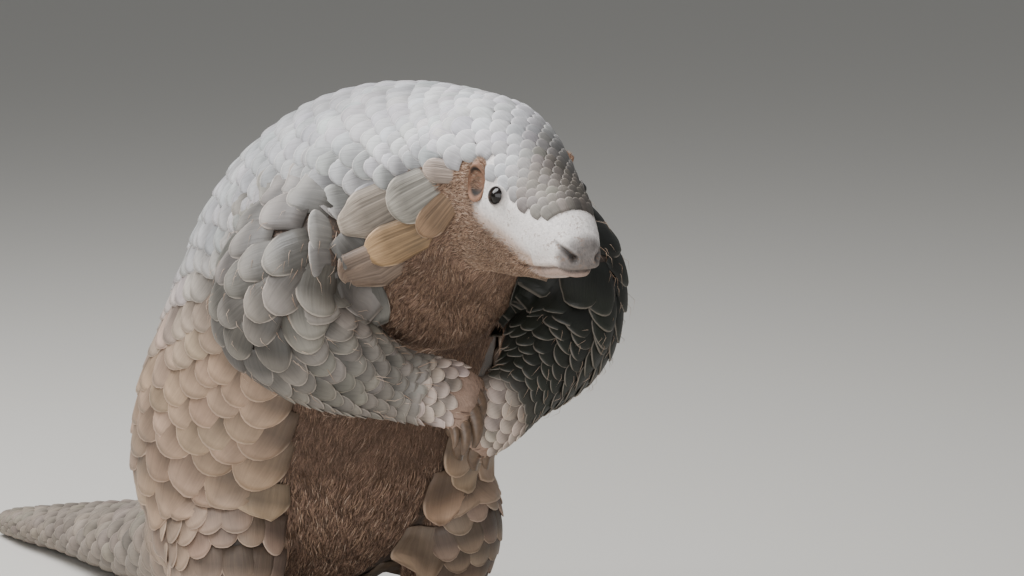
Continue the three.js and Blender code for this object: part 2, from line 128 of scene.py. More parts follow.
class BodyLine:
    def __init__(self, stations, lefts):
        self.last = len(stations) - 1
        self.centres = spline([s[0] for s in stations])
        self.sizes = spline([s[1] for s in stations])
        along = unit(np.gradient(self.centres, axis=0))
        left = spline(lefts)
        self.sides = unit(left - along * np.sum(left * along, axis=1, keepdims=True))
        self.outers = np.cross(self.sides, along)
        self.alongs = along
        covers = [s[2] for s in stations]
        self.covers = np.interp(np.linspace(0, self.last, len(along)), range(len(covers)), covers)

    def pick(self, table, u):
        """A table's value at station u, between its samples."""
        k = np.clip(np.asarray(u, float) / self.last, 0, 1) * (len(table) - 1)
        low = np.minimum(k.astype(int), len(table) - 2)
        share = k - low
        if table.ndim > 1:
            share = share[..., None]
        return table[low] * (1 - share) + table[low + 1] * share

    def skin(self, u, phi, grow=0.0):
        """The point of the skin at station u and angle phi: 0 on the outer side, above 0 on the left."""
        size = self.pick(self.sizes, u)
        height = np.where(np.cos(phi) > 0, size[..., 1], size[..., 2])
        out = (np.cos(phi) * (height + grow))[..., None] * self.pick(self.outers, u)
        aside = (np.sin(phi) * (size[..., 0] + grow))[..., None] * self.pick(self.sides, u)
        return self.pick(self.centres, u) + aside + out

    def lie(self, u, phi):
        """How the skin runs there: backwards along the line, round it, and outwards."""
        back = (self.skin(u + 0.03, phi) - self.skin(u - 0.03, phi)) / 0.06
        round_ = (self.skin(u, phi + 0.01) - self.skin(u, phi - 0.01)) / 0.02
        return back, round_, unit(np.cross(round_, back))

    def locate(self, points):
        """Station, angle and share of the section's size at which each point lies."""
        step = max(1, len(self.centres) // 300)
        middles = self.centres[::step]
        nearest = np.empty(len(points), int)
        for start in range(0, len(points), 4000):
            part = points[start : start + 4000]
            gaps = np.linalg.norm(part[:, None] - middles[None], axis=2)
            nearest[start : start + 4000] = np.argmin(gaps, axis=1) * step
        rel = points - self.centres[nearest]
        x = np.sum(rel * self.sides[nearest], axis=1)
        y = np.sum(rel * self.outers[nearest], axis=1)
        size = self.sizes[nearest]
        share = np.hypot(x / size[:, 0], y / np.where(y > 0, size[:, 1], size[:, 2]))
        beyond = np.abs(np.sum(rel * self.alongs[nearest], axis=1)) / size[:, 0]
        return nearest / (len(self.centres) - 1) * self.last, np.arctan2(x, y), np.hypot(share, beyond)


# %% The trunk, from the nose over the humped back to the tip of the tail
TRUNK_STATIONS = [
    ((271, 0, 270), (8.5, 6, 8), 14),  # nose
    ((261, 0, 275), (14.5, 12, 20), 32),
    ((243, 0, 284), (20.5, 18, 34), 62),  # muzzle
    ((226, 0, 292), (24, 22, 44), 60),  # eyes
    ((206, 0, 299), (30, 28, 50), 66),  # ears
    ((180, 0, 304), (37, 33, 56), 80),  # crown
    ((146, 0, 301), (47, 38, 72), 100),  # nape and throat
    ((106, 0, 291), (64, 48, 90), 118),  # shoulders and chest
    ((66, 0, 271), (78, 65, 88), 122),  # hump
    ((33, 0, 239), (87, 79, 80), 124),
    ((8, 0, 196), (94, 84, 76), 140),  # waist
    ((-10, 0, 150), (103, 85, 74), 147),  # belly
    ((-30, 0, 106), (102, 81, 64), 150),  # hips
    ((-64, 0, 72), (81, 58, 50), 165),  # rump
    ((-110, -2, 48), (58, 39, 36), 180),  # tail root
    ((-163, -7, 32), (50, 29, 28), 180),
    ((-221, -16, 21.5), (43, 22, 20), 180),
    ((-280, -30, 16), (34, 16, 14.5), 180),
    ((-331, -47, 11), (25, 10, 9.8), 180),
    ((-362, -60, 8), (13, 6, 6.8), 180),  # tip of the tail
]
HIPS = range(11, 14)
HIPS_TURN = math.radians(6)
trunk_lefts = [(0, 1, 0)] * len(TRUNK_STATIONS)
for k in HIPS:
    trunk_lefts[k] = (math.sin(HIPS_TURN), math.cos(HIPS_TURN), 0)
TRUNK = BodyLine(TRUNK_STATIONS, trunk_lefts)


# %% The limbs: each station also has the direction of the limb's outer side
def limb(stations):
    spots = np.array([s[0] for s in stations], float)
    runs = np.gradient(spots, axis=0)
    lefts = [np.cross(run, s[3]) / np.linalg.norm(np.cross(run, s[3])) for run, s in zip(runs, stations)]
    return BodyLine(stations, lefts)


def mirrored(stations):
    flip = np.array([1, -1, 1])
    return [(tuple(flip * s[0]), s[1], s[2], tuple(flip * s[3])) for s in stations]


RIGHT_ARM = limb(
    [
        ((76, -40, 270), (34, 26, 30), 130, (-0.2, -0.9, 0.5)),  # shoulder
        ((90, -62, 252), (44, 34, 38), 132, (-0.2, -0.9, 0.4)),
        ((104, -79, 228), (41, 36, 36), 122, (0, -1, 0.1)),  # upper arm
        ((119, -73, 211), (30, 31, 28), 110, (0.3, -0.95, 0)),  # elbow
        ((132, -52, 196), (23, 24, 21), 110, (0.5, -0.8, 0.3)),  # forearm
        ((144, -31, 188), (18, 15, 14), 100, (0.5, -0.6, 0.65)),  # wrist
        ((152, -22, 186), (20, 14, 12), 85, (0.45, -0.45, 0.8)),
        ((160, -13, 184), (21, 11, 10), 75, (0.45, -0.4, 0.8)),  # knuckles
        ((164, -9, 182.5), (18, 8, 8), 65, (0.45, -0.4, 0.8)),
    ]
)
LEFT_ARM = limb(
    [
        ((76, 40, 270), (34, 26, 30), 130, (-0.2, 0.9, 0.5)),
        ((90, 62, 252), (44, 34, 38), 132, (-0.2, 0.9, 0.4)),
        ((107, 79, 230), (42, 36, 38), 122, (0, 1, 0.1)),
        ((124, 73, 207), (32, 31, 32), 125, (0.3, 0.95, 0)),
        ((142, 51, 191), (24, 23, 24), 120, (0.6, 0.75, 0.1)),
        ((153, 30, 180), (18, 15, 15), 100, (0.85, 0.3, 0.1)),
        ((153, 20, 173), (19, 13, 12), 85, (0.92, -0.1, 0)),
        ((151, 11, 166), (19, 11, 10), 75, (0.92, -0.3, 0)),
        ((149, 7, 163), (16, 8, 8), 65, (0.92, -0.35, 0)),
    ]
)
RIGHT_LEG_STATIONS = [
    ((-42, -46, 118), (46, 36, 40), 110, (-0.3, -1, 0.3)),  # hip
    ((-22, -60, 98), (48, 36, 42), 115, (0, -1, 0.2)),  # thigh
    ((2, -68, 74), (38, 32, 34), 120, (0.1, -1, 0)),  # knee
    ((-4, -71, 48), (28, 26, 26), 120, (0, -1, 0)),  # shin
    ((-18, -73, 24), (22, 20, 20), 110, (0, -1, 0)),  # ankle
]
RIGHT_FOOT_STATIONS = [
    ((-40, -73, 16), (8, 8, 8), 60, (0, 0, 1)),  # heel
    ((-29, -73, 17), (18, 15, 18), 70, (0, 0, 1)),
    ((-10, -74, 17), (22, 18, 18), 75, (0, 0, 1)),
    ((13, -76, 13), (24, 15, 15), 70, (0.2, 0, 1)),  # sole
    ((31, -78, 9), (24, 10, 11), 60, (0.2, 0, 1)),
    ((37, -79, 8), (21, 7, 9), 55, (0.2, 0, 1)),  # roots of the toes
]
RIGHT_LEG, LEFT_LEG = limb(RIGHT_LEG_STATIONS), limb(mirrored(RIGHT_LEG_STATIONS))
RIGHT_FOOT, LEFT_FOOT = limb(RIGHT_FOOT_STATIONS), limb(mirrored(RIGHT_FOOT_STATIONS))
LINES = [TRUNK, RIGHT_ARM, LEFT_ARM, RIGHT_LEG, LEFT_LEG, RIGHT_FOOT, LEFT_FOOT]

# %% [markdown]
# Each foot has five digits. A digit is a short fleshy toe that belongs to the skin, and a horny claw
# that is a piece of its own. Both follow one curve, which leaves the foot forwards and bends down.

# %% Digits
# place across the foot, degrees that it fans out, length of toe and of claw, and thickness
FORE_DIGITS = [
    (-0.95, -26, 6.5, 7, 3.3),
    (-0.52, -14, 8, 14, 5.2),
    (0.02, 0, 9, 18, 6.2),
    (0.56, 13, 8, 14, 5.2),
    (0.95, 25, 6.5, 7, 3.3),
]
HIND_DIGITS = [
    (-0.8, -16, 5, 9, 4),
    (-0.42, -8, 9, 12, 4.7),
    (-0.02, 0, 10, 13, 5),
    (0.4, 8, 9, 12, 4.7),
    (0.8, 16, 5, 8, 4),
]
FEET = {  # body line, digits, which way is down, and the degrees that a toe droops and a claw curls
    "foreclaw_right": (RIGHT_ARM, FORE_DIGITS, (0.25, -0.1, -1), 35, 57),
    "foreclaw_left": (LEFT_ARM, FORE_DIGITS, (-0.6, 0.1, -0.8), 25, 60),
    "hindclaw_right": (RIGHT_FOOT, HIND_DIGITS, (0, 0, -1), 0, 38),
    "hindclaw_left": (LEFT_FOOT, HIND_DIGITS, (0, 0, -1), 0, 38),
}
CLAW_ROOT, CLAW_STEPS = 3.5, 6  # mm of a claw inside its toe, and the parts of its curve


def digit_lines(foot, digit):
    """The body lines of a digit's toe and of its claw."""
    line, _, down, droop, curl = foot
    aside, fan, toe_length, claw_length, thick = digit
    along, across = line.alongs[-1], line.sides[-1]
    down = np.array(down, float)
    down = unit(down - along * (along @ down))
    fan = math.radians(fan)
    forward = along * math.cos(fan) + across * math.sin(fan)
    root = line.centres[-1] + across * aside * line.sizes[-1][0] * 0.9

    def turned(angle):
        return forward * math.cos(math.radians(angle)) + down * math.sin(math.radians(angle))

    place = root + turned(droop) * toe_length
    toe = limb(
        [
            (root - forward * thick * 1.5, (thick * 1.1, thick * 1.05, thick * 1.05), 0, -down),
            (root, (thick * 1.1, thick * 1.1, thick * 1.1), 0, -down),
            (place, (thick * 0.78, thick * 0.88, thick * 0.88), 0, -down),
        ]
    )
    horn = []
    place = place - turned(droop) * CLAW_ROOT
    step = (claw_length + CLAW_ROOT) / CLAW_STEPS
    for i in range(CLAW_STEPS + 1):
        share = i / CLAW_STEPS
        slim = thick * (1 - 0.78 * share**2.2)
        horn.append((place, (0.72 * slim, 0.85 * slim, 0.7 * slim), 0, -down))
        place = place + turned(droop + curl * (share + 0.5 / CLAW_STEPS)) * step
    return toe, limb(horn)


# %% [markdown]
# The skin starts as one tube for each body line. A tube is a flat grid whose two directions are
# wrapped along the line and round it. The tubes, the toes and the nose pad run through one another,
# and a voxel remesh turns them into one closed surface with soft joins, as flesh has at a shoulder.
# Sculpting a sphere would also do, but the tubes keep the skin under the scales of the solids.


# %% Skin, from tubes
def add_tube(bm, line, rings, sides, inset=0.0):
    """Wraps a grid round a body line and closes its seam and its two ends."""
    made = bmesh.ops.create_grid(bm, x_segments=rings, y_segments=sides, size=0.5)["verts"]
    u = line.last * (np.array([v.co.x for v in made]) + 0.5)
    phi = 2 * math.pi * np.array([v.co.y for v in made])
    for vert, spot in zip(made, line.skin(u, phi, -inset)):
        vert.co = spot
    bmesh.ops.remove_doubles(bm, verts=made, dist=0.01)
    rims = [e for e in bm.edges if e.is_boundary]
    bmesh.ops.holes_fill(bm, edges=rims, sides=0)


def add_ball(bm, centre, radii, turn=Matrix(), segments=24):
    shape = Matrix.Translation(centre) @ turn.to_4x4() @ Matrix.Diagonal((*radii, 1))
    return bmesh.ops.create_uvsphere(
        bm, u_segments=segments, v_segments=segments * 2 // 3, radius=1, matrix=shape
    )["verts"]


def new_object(name, bm):
    """Makes an object of a bmesh in millimetres, in its place in the shared frame."""
    bmesh.ops.recalc_face_normals(bm, faces=bm.faces)
    for vert in bm.verts:
        vert.co = (vert.co + SHIFT) / 1000
    mesh = bpy.data.meshes.new(name)
    bm.to_mesh(mesh)
    bm.free()
    obj = bpy.data.objects.new(name, mesh)
    bpy.context.collection.objects.link(obj)
    return obj


def smooth_object(name, bm):
    obj = new_object(name, bm)
    obj.data.shade_smooth()
    return obj


SKIN_DEPTH = 0.8  # how far the skin lies under the solids' core, for the roots of the scales
NOSE_AT, NOSE_RADII = (262.5, 0, 269.5), (9.5, 12, 9.5)
VOXEL = 3.0  # size of the remesh's cells

flesh = bmesh.new()
add_tube(flesh, TRUNK, 260, 96, SKIN_DEPTH)
for line in LINES[1:]:
    add_tube(flesh, line, 60, 48, SKIN_DEPTH)
for foot in FEET.values():
    for digit in foot[1]:
        add_tube(flesh, digit_lines(foot, digit)[0], 10, 16)
add_ball(flesh, NOSE_AT, NOSE_RADII)
skin = new_object("skin", flesh)
remesh = skin.modifiers.new("one surface", "REMESH")
remesh.mode = "VOXEL"
remesh.voxel_size = VOXEL / 1000
smooth = skin.modifiers.new("soft joins", "SMOOTH")
smooth.factor = 0.5
smooth.iterations = 3
graph = bpy.context.evaluated_depsgraph_get()
whole = bpy.data.meshes.new_from_object(skin.evaluated_get(graph))
skin.modifiers.clear()
skin.data = whole

# %% [markdown]
# The face is bare and close to the viewer, so its mesh is divided again, twice over the whole face
# and once more round the eyes and the nostrils. Elsewhere hair or scales cover the skin, and the
# coarse mesh is enough.


# %% Finer mesh on the face
def refine(bm, chosen):
    """Divides the faces whose middle is chosen, and smooths what was divided."""
    wanted = chosen(millimetres([f.calc_center_median() for f in bm.faces]))
    faces = [f for f, yes in zip(bm.faces, wanted) if yes]
    edges = list({e for f in faces for e in f.edges})
    bmesh.ops.subdivide_edges(bm, edges=edges, cuts=1, use_grid_fill=True)
    bm.verts.ensure_lookup_table()
    near = chosen(millimetres([v.co for v in bm.verts]))
    soft = [v for v, yes in zip(bm.verts, near) if yes]
    axes = dict(use_axis_x=True, use_axis_y=True, use_axis_z=True)
    for _ in range(2):
        bmesh.ops.smooth_vert(bm, verts=soft, factor=0.5, **axes)


def near_details(points):
    spots = [np.array(spot) * flip for spot in (EYE_AT, (268, -8, 273)) for flip in SIDES.values()]
    return np.min([np.linalg.norm(points - spot, axis=1) for spot in spots], axis=0) < 9.5


fine = bmesh.new()
fine.from_mesh(skin.data)
refine(fine, lambda p: (p[:, 0] > 190) & (p[:, 2] > 240))
refine(fine, lambda p: (p[:, 0] > 205) & (p[:, 2] > 252))
refine(fine, near_details)
fine.to_mesh(skin.data)
fine.free()
print("skin with a fine face:", len(skin.data.vertices), "vertices")

# %% [markdown]
# Lids, nostrils, the mouth line and the lips are worked into the fine mesh, the way a sculptor
# pushes clay: each rule moves the points near one feature along the skin's own normal.

# %% Face: mouth, lips, nostrils and lids
MOUTH = np.array(  # X and Z of the line between the lips
    [(230, 264.5), (236, 263.2), (243, 262.6), (252, 263.6), (259, 264.9), (266, 263.4), (277, 264)]
)
NOSTRIL = np.array([(270.3, -6.3, 270.3), (269, -8.6, 272.4), (266.3, -10.8, 275), (262.8, -12.5, 278)])
LID_OPENING = 4.15  # half width of the opening between the lids
EAR_AT, EAR_RADII = np.array((211.4, -25.6, 302.6)), np.array((4.4, 6, 10.8))


def read_points(obj):
    mesh = obj.data
    flat, normals = np.empty(len(mesh.vertices) * 3), np.empty(len(mesh.vertices) * 3)
    mesh.vertices.foreach_get("co", flat)
    mesh.vertices.foreach_get("normal", normals)
    return millimetres(flat.reshape(-1, 3)), normals.reshape(-1, 3)


def write_points(obj, points):
    obj.data.vertices.foreach_set("co", metres(points).ravel())
    obj.data.update()


def path_distance(points, path):
    """Distance to a bent path, and how far along it the nearest place is, from 0 to 1."""
    best, share = np.full(len(points), 1e9), np.zeros(len(points))
    for k, (a, b) in enumerate(zip(path[:-1], path[1:])):
        run = b - a
        t = np.clip((points - a) @ run / (run @ run), 0, 1)
        gap = np.linalg.norm(points - a - t[:, None] * run, axis=1)
        closer = gap < best
        best[closer] = gap[closer]
        share[closer] = ((k + t) / (len(path) - 1))[closer]
    return best, share


def bell(distance, reach):
    return np.exp(-((distance / reach) ** 2))


def ramp(value, low, high):
    t = np.clip((value - low) / (high - low), 0, 1)
    return (t * t * (3 - 2 * t))[..., None]


def mix(a, b, share):
    return a * (1 - share) + b * share


points, normals = read_points(skin)
move = np.zeros(len(points))
on_muzzle = (points[:, 0] > 224) & (points[:, 2] < 290) & (points[:, 2] > 250)
across, _ = path_distance(points[:, [0, 2]], MOUTH)
above = points[:, 2] - np.interp(points[:, 0], MOUTH[:, 0], MOUTH[:, 1])
fade = np.clip((points[:, 0] - 229) / 6, 0, 1) * on_muzzle
move += fade * (-1.9 * bell(across, 0.9) + 0.9 * bell(above - 2.6, 1.8) + 0.7 * bell(above + 2.4, 1.7))
# this marks the nostril slits, which are painted near black later as painted shade
nostril_shade_share = np.zeros(len(points))
for flip in SIDES.values():
    gap, along = path_distance(points, NOSTRIL * flip)
    nostril_shade_share = np.maximum(nostril_shade_share, (1 - 0.6 * along) * bell(gap, 2.0 - 1.1 * along))
    move += -(3.6 - 2.8 * along) * bell(gap, 1.6 - 0.8 * along)
    move += 0.7 * bell(gap - 2.6, 1.2) * (1 - along)
# folds of loose skin on the cheek and a soft hollow in front of the eye
FOLDS = (((236, -19, 283), 7, -1.0), ((214, -27, 283), 8, 1.2), ((247, -15, 272), 8, 0.8))
for centre, reach, depth in FOLDS:
    for flip in SIDES.values():
        move += depth * bell(np.linalg.norm(points - np.array(centre) * flip, axis=1), reach)
points += normals * move[:, None]

for flip in SIDES.values():
    facing = EYE_FACING * flip
    rel = points - EYE_AT * flip
    height = rel @ facing
    flat = rel - height[:, None] * facing
    wide = np.linalg.norm(flat, axis=1)
    near = (wide < 11) & (height > -6)
    ball = np.sqrt(np.clip(EYE_RADIUS**2 - wide**2, 0, None))
    rim = ball + 0.25 + 0.9 * bell(wide - LID_OPENING - 1.2, 1.3)
    lid = np.where(wide < LID_OPENING, ball - 1.6, rim)
    hold = np.clip((9.5 - wide) / 4.5, 0, 1)
    hold = hold * hold * (3 - 2 * hold)
    goal = lid * hold + height * (1 - hold)
    target = np.where(near, goal, height)
    points += (target - height)[:, None] * facing
    # the skin sinks a little inside the ear, whose cup is a piece of its own
    from_ear = np.linalg.norm((points - EAR_AT * flip) / (EAR_RADII + 1), axis=1)
    points -= normals * (4 * ramp(-from_ear, -1.15, -0.6))
write_points(skin, points)

# %% [markdown]
# Scales, hair and colours all need to know which part of the body a point of the skin belongs to.
# Each point is looked up on every body line, and the line whose surface it lies on wins.


# %% Places on the body
def places(points):
    """For each point: index of its body line, station, angle, and degrees past the scales' edge."""
    found = [line.locate(points) for line in LINES]
    shares = np.array([f[2] for f in found])
    best = np.argmin(shares, axis=0)
    pick = np.arange(len(points))
    u = np.array([f[0] for f in found])[best, pick]
    phi = np.array([f[1] for f in found])[best, pick]
    cover = np.zeros(len(points))
    for k, line in enumerate(LINES):
        cover[best == k] = line.pick(line.covers, u[best == k])
    return best, u, phi, np.degrees(np.abs(phi)) - cover


points, _ = read_points(skin)
skin_tree = BVHTree.FromPolygons(
    [Vector(p) for p in points], [tuple(poly.vertices) for poly in skin.data.polygons]
)

# %% [markdown]
# A pangolin's scale is a shield of keratin, like a thick fingernail. It grows out of the skin at its
# root, thins towards its rounded free edge, and is ribbed lengthwise. One shield is modelled as a
# grid whose front is rounded, and then thickened. It is laid on the skin some two thousand times.
# The copies are joined from arrays, since that many operators would be slow.


# %% One scale
def scale_template(rounded, across=6, along=6, root=1 / 3):
    """Points of one scale as (side, length, height), its faces, and its flat map before rounding."""
    bm = bmesh.new()
    grid = bmesh.ops.create_grid(bm, x_segments=across, y_segments=along, size=1)["verts"]
    flat = np.array([((v.co.x + 1) / 2, (v.co.y + 1) / 2) for v in grid])
    for vert in grid:
        side, reach = vert.co.x, (vert.co.y + 1) / 2
        front = max(0, reach - root) / (1 - root)
        back = min(reach, root) / root
        wide = side * (0.78 + 0.22 * back) * math.sqrt(1 - front**2 / 2)
        long = (1 - rounded) * back + rounded * front * math.sqrt(1 - side**2 / 2)
        vert.co = (wide, long, 0.055 * (1 - side**2) * (1 - 0.4 * reach))
    shaped = np.array([v.co for v in grid])
    bmesh.ops.solidify(bm, geom=list(bm.faces), thickness=0.034)
    bmesh.ops.recalc_face_normals(bm, faces=bm.faces)
    points = np.array([v.co for v in bm.verts])
    faces = [tuple(v.index for v in f.verts) for f in bm.faces]
    bm.free()
    gaps = np.linalg.norm(points[:, None, :2] - shaped[None, :, :2], axis=2)
    return points, faces, flat[np.argmin(gaps, axis=1)]


SHIELD, SHIELD_FACES, SHIELD_MAP = scale_template(0.54)
LONG_SHIELD = scale_template(0.3)[0]

# %% [markdown]
# Each copy keeps a few facts about itself, which its material reads later: its own colour, and a flat
# map that runs from its root to its free edge. A second map, OFBake, gives every scale or tuft its
# own small patch at its root's place on an unwrap of the skin, for baking the colours.

# %% Colours and joined copies
SHEETS = [  # corner and size of each body line's part of the unwrap
    (0.0, 0.0, 1.0, 0.5),
    (0.0, 0.5, 0.3, 0.24),
    (0.3, 0.5, 0.3, 0.24),
    (0.6, 0.5, 0.2, 0.24),
    (0.8, 0.5, 0.2, 0.24),
    (0.0, 0.75, 0.2, 0.24),
    (0.2, 0.75, 0.2, 0.24),
]


def linear(colour):
    """An sRGB hex colour as linear red, green and blue."""
    parts = np.array([int(colour[k : k + 2], 16) for k in (1, 3, 5)]) / 255
    return np.where(parts <= 0.04045, parts / 12.92, ((parts + 0.055) / 1.055) ** 2.4)


def unwrap(line_index, u, phi):
    """The place of a root on the unwrap of the skin."""
    sheets = np.array(SHEETS)[line_index]
    lasts = np.array([line.last for line in LINES])[line_index]
    across = sheets[..., 0] + sheets[..., 2] * np.clip(u / lasts, 0.01, 0.99)
    up = sheets[..., 1] + sheets[..., 3] * np.clip(phi / (2 * math.pi) + 0.5, 0.01, 0.99)
    return np.stack([across, up], axis=-1)


def joined_copies(name, copies, faces, lie, roots, patch, colours):
    """One mesh of many copies. copies is (count, points, 3) in mm, lie the (points, 2) map of one."""
    count, size = copies.shape[:2]
    corners = np.concatenate([np.array(f) for f in faces])
    lengths = np.array([len(f) for f in faces])
    starts = np.concatenate([[0], np.cumsum(lengths)[:-1]])
    loops = (corners[None] + np.arange(count)[:, None] * size).ravel()
    mesh = bpy.data.meshes.new(name)
    mesh.vertices.add(count * size)
    mesh.loops.add(len(loops))
    mesh.polygons.add(count * len(faces))
    mesh.vertices.foreach_set("co", metres(copies.reshape(-1, 3)).ravel())
    mesh.loops.foreach_set("vertex_index", loops.astype(np.int32))
    loop_starts = (starts[None] + np.arange(count)[:, None] * len(corners)).ravel()
    mesh.polygons.foreach_set("loop_start", loop_starts.astype(np.int32))
    mesh.update(calc_edges=True)
    mesh.polygons.foreach_set("use_smooth", np.ones(count * len(faces), bool))
    bake = mesh.uv_layers.new(name="OFBake")
    spots = roots[:, None] + (lie - 0.5)[None, :, :] * np.asarray(patch).reshape(-1, 1, 1)
    bake.uv.foreach_set("vector", spots.reshape(-1, 2)[loops].ravel().astype(np.float32))
    flat = mesh.uv_layers.new(name="Lie")
    tiled = np.tile(lie, (count, 1))
    flat.uv.foreach_set("vector", tiled[loops].ravel().astype(np.float32))
    add_tint(mesh, colours.reshape(-1, 3))
    mesh.validate()
    obj = bpy.data.objects.new(name, mesh)
    bpy.context.collection.objects.link(obj)
    print(name, count, "copies,", sum(lengths - 2) * count, "triangles")
    return obj


def add_tint(mesh, colours):
    """Keeps a colour for each point of a mesh, for its material."""
    tint = mesh.color_attributes.new("Tint", "FLOAT_COLOR", "POINT")
    full = np.concatenate([np.clip(colours, 0, 1), np.ones((len(colours), 1))], axis=1)
    tint.data.foreach_set("color", full.astype(np.float32).ravel())


def on_skin(spots):
    """The nearest points of the skin and its normals there."""
    found = [skin_tree.find_nearest(Vector(spot)) for spot in spots]
    return np.array([f[0] for f in found]), np.array([f[1] for f in found])


def towards(vectors, out):
    """Directions turned into the plane of the skin whose normal is out."""
    return unit(vectors - out * np.sum(vectors * out, axis=-1, keepdims=True))


# %% [markdown]
# The colour of a scale depends on where it grows. The back and the crown are pale grey, partly the
# horn's own grey and partly painted light from above, the shoulders and arms are darker and browner, and
# the flanks and thighs are tan. The far side of the brow and the far arm are painted dark, as painted
# shade. The few long scales behind the ear range from grey to golden brown. Every scale differs a little
# from its neighbours.

# %% Colours of the scales
HORN = {
    # back and crown: pale grey that is partly painted light from above
    "back": "#a9a9ab",
    "crown": "#c6c5c7",
    "brow": "#8c857e",
    # painted shade on the far side of the brow
    "far_brow_shade": "#4c4640",
    "shoulder": "#8b8680",
    "arm": "#767068",
    # painted shade on the far arm
    "far_arm_shade": "#262821",
    "hand": "#b8a79b",
    "flank": "#a38973",
    "tail": "#857a6f",
    "leg": "#927c6b",
}
HORN = {place: linear(colour) for place, colour in HORN.items()}


def horn_colour(line_index, u, phi):
    """The colour of scales by body line, station and angle."""
    side = np.abs(phi)
    if line_index == 0:
        tone = mix(HORN["brow"], HORN["crown"], ramp(u + 0.8 * side, 2.9, 3.9))
        # painted shade: the far side of the brow is darkened
        tone = mix(tone, HORN["far_brow_shade"], 0.8 * ramp(phi, -0.5, 0.4) * ramp(-u, -4.6, -3.4))
        tone = mix(tone, HORN["back"], ramp(u, 5, 7))
        tone = mix(tone, HORN["shoulder"], ramp(side, 1.2, 1.9) * ramp(u, 5.5, 7))
        low_flank = ramp(u + 1.2 * side, 10.0, 12.0) * ramp(u, 8, 9)
        tone = mix(tone, HORN["flank"], np.maximum(low_flank, ramp(u, 11, 12.5)))
        return mix(tone, HORN["tail"], ramp(u, 12.8, 14.5))
    if line_index in (1, 2):
        if line_index == 1:
            tone = mix(HORN["shoulder"], HORN["arm"], ramp(u, 0.8, 2.6))
        else:
            # painted shade: the far arm is darkened from the shoulder on
            tone = mix(HORN["shoulder"], HORN["far_arm_shade"], ramp(u + side, 0.6, 1.8))
        return mix(tone, HORN["hand"], ramp(u, 4.7, 5.5))
    return HORN["leg"] + 0 * ramp(u, 0, 1)


# %% [markdown]
# Scales grow in rows across the body, each row set half a step over from the one before it. A scale
# stays only where its own body line makes the surface, so that the rows of the trunk and those of a
# limb meet at the limb's root and don't pile up. On the trunk and the upper arm the free edges point
# to the tail, and past the elbow they turn to the hand.

# %% Laying the scales
dice = np.random.default_rng(7)
TO_TAIL = np.array((-0.8, 0, -0.5))
PATCH_LEAST, PATCH_MOST = 0.003, 0.012  # size of a scale's patch on the OFBake map
PATCH_SHARE = 0.35 / 600  # size of the patch for each mm of a scale's width
FLOOR_GAP = 0.15  # mm between the lowest scale of the tail and the floor
RIBBED_GAP = 6  # mm that the middle of a scale keeps from the ribbed scales
ROOT_REACH = 12  # mm that a root may lie from the skin that it moves to
STIFF, TORN = 0.4, 0.65  # how far the skin bends off a scale before it's shortened, or left out


def rows_of_scales(line, start, end, columns, spacing, least):
    """Stations, angles and widths of the scales of one run."""
    rows = []
    u, row = start, 0
    while u < end:
        cover = math.radians(float(line.pick(line.covers, u)))
        back, round_, _ = line.lie(np.full(2, u), np.array([-0.87, 0.87]))
        width = 2 * cover * float(np.linalg.norm(round_, axis=1).mean()) / columns
        step = max(width * spacing, least) / float(np.linalg.norm(back, axis=1).mean())
        phi = (np.arange(-columns - 1, columns + 2, 2) + row % 2) * cover / columns
        phi = phi[np.abs(phi) <= cover * 1.02]
        phi = phi + dice.normal(0, 0.04 * cover / columns, len(phi))
        rows += [(u + dice.normal(0, 0.035) * step, p, max(width, least / spacing)) for p in phi]
        u += step
        row += 1
    return (np.array(column) for column in zip(*rows))


def bend_to_skin(seat, along, out, width, length, lift, shape=SHIELD):
    """Copies of the shield with their roots at the seats, each point set over the skin below it."""
    side = np.cross(along, out)
    flat = seat[:, None] + side[:, None] * shape[None, :, 0:1] * width[:, None, None] / 2
    flat = flat + along[:, None] * shape[None, :, 1:2] * length[:, None, None]
    laid, _ = on_skin(flat.reshape(-1, 3))
    laid = laid.reshape(flat.shape)
    strain = np.linalg.norm(laid - flat, axis=2).max(axis=1) / length
    height = shape[None, :, 2] + 0.015 + lift * shape[None, :, 1]
    laid = laid + out[:, None] * (height * width[:, None])[..., None]
    laid[..., 2] = np.maximum(laid[..., 2], FLOOR_GAP)
    return laid, strain


def shield_colours(tone, root_shade):
    """Each scale's colour on all its points, with painted shade where it comes out from under others."""
    tone = tone * (1 + dice.normal(0, 0.05 + 0.07 * root_shade, (len(tone), 1)))
    tone = tone * (1 + dice.normal(0, 0.015, (len(tone), 3)))
    # painted shade: darker at each scale's root, a little lighter towards its free edge
    unshaded_share = 1.08 * ramp(SHIELD_MAP[:, 1], 0.28, 0.9)
    return tone[:, None] * (1.08 - root_shade[..., None] * (1.08 - unshaded_share[None]))


def root_shade_at(line_index, u, phi):
    """How much painted shade darkens the roots of the scales: little on the back, more on flanks and
    limbs.
    """
    if line_index > 0:
        return 0.62 + 0 * ramp(u, 0, 1)
    return 0.3 + 0.34 * np.maximum(ramp(np.abs(phi), 1.1, 1.8), ramp(u, 9.5, 11.5))


def is_free(line_index, seat, middle, phi):
    """Whether a scale's seat belongs to its own body line, clear of the ears and the ribbed scales."""
    shares = np.array([line.locate(seat)[2] for line in LINES])
    free = shares[line_index] < 1.1 * shares.min(axis=0)
    if line_index == 0:
        for flip in SIDES.values():
            gap = (middle - EAR_AT * flip) / (EAR_RADII + 3.5)
            free &= np.linalg.norm(gap, axis=1) > 1
        for root, tip in RIBBED_SPOTS:
            nearest, _ = path_distance(middle, np.array([root, tip]))
            free &= nearest > RIBBED_GAP
        under_arms = (middle[:, 0] > 20) & (middle[:, 2] < 235)
        beside = np.array([line.locate(middle)[2] for line in LINES[1:3]]).min(axis=0)
        free &= ~(under_arms & (beside < np.where(phi > 2.1, 2.6, 1.5)))
    return free


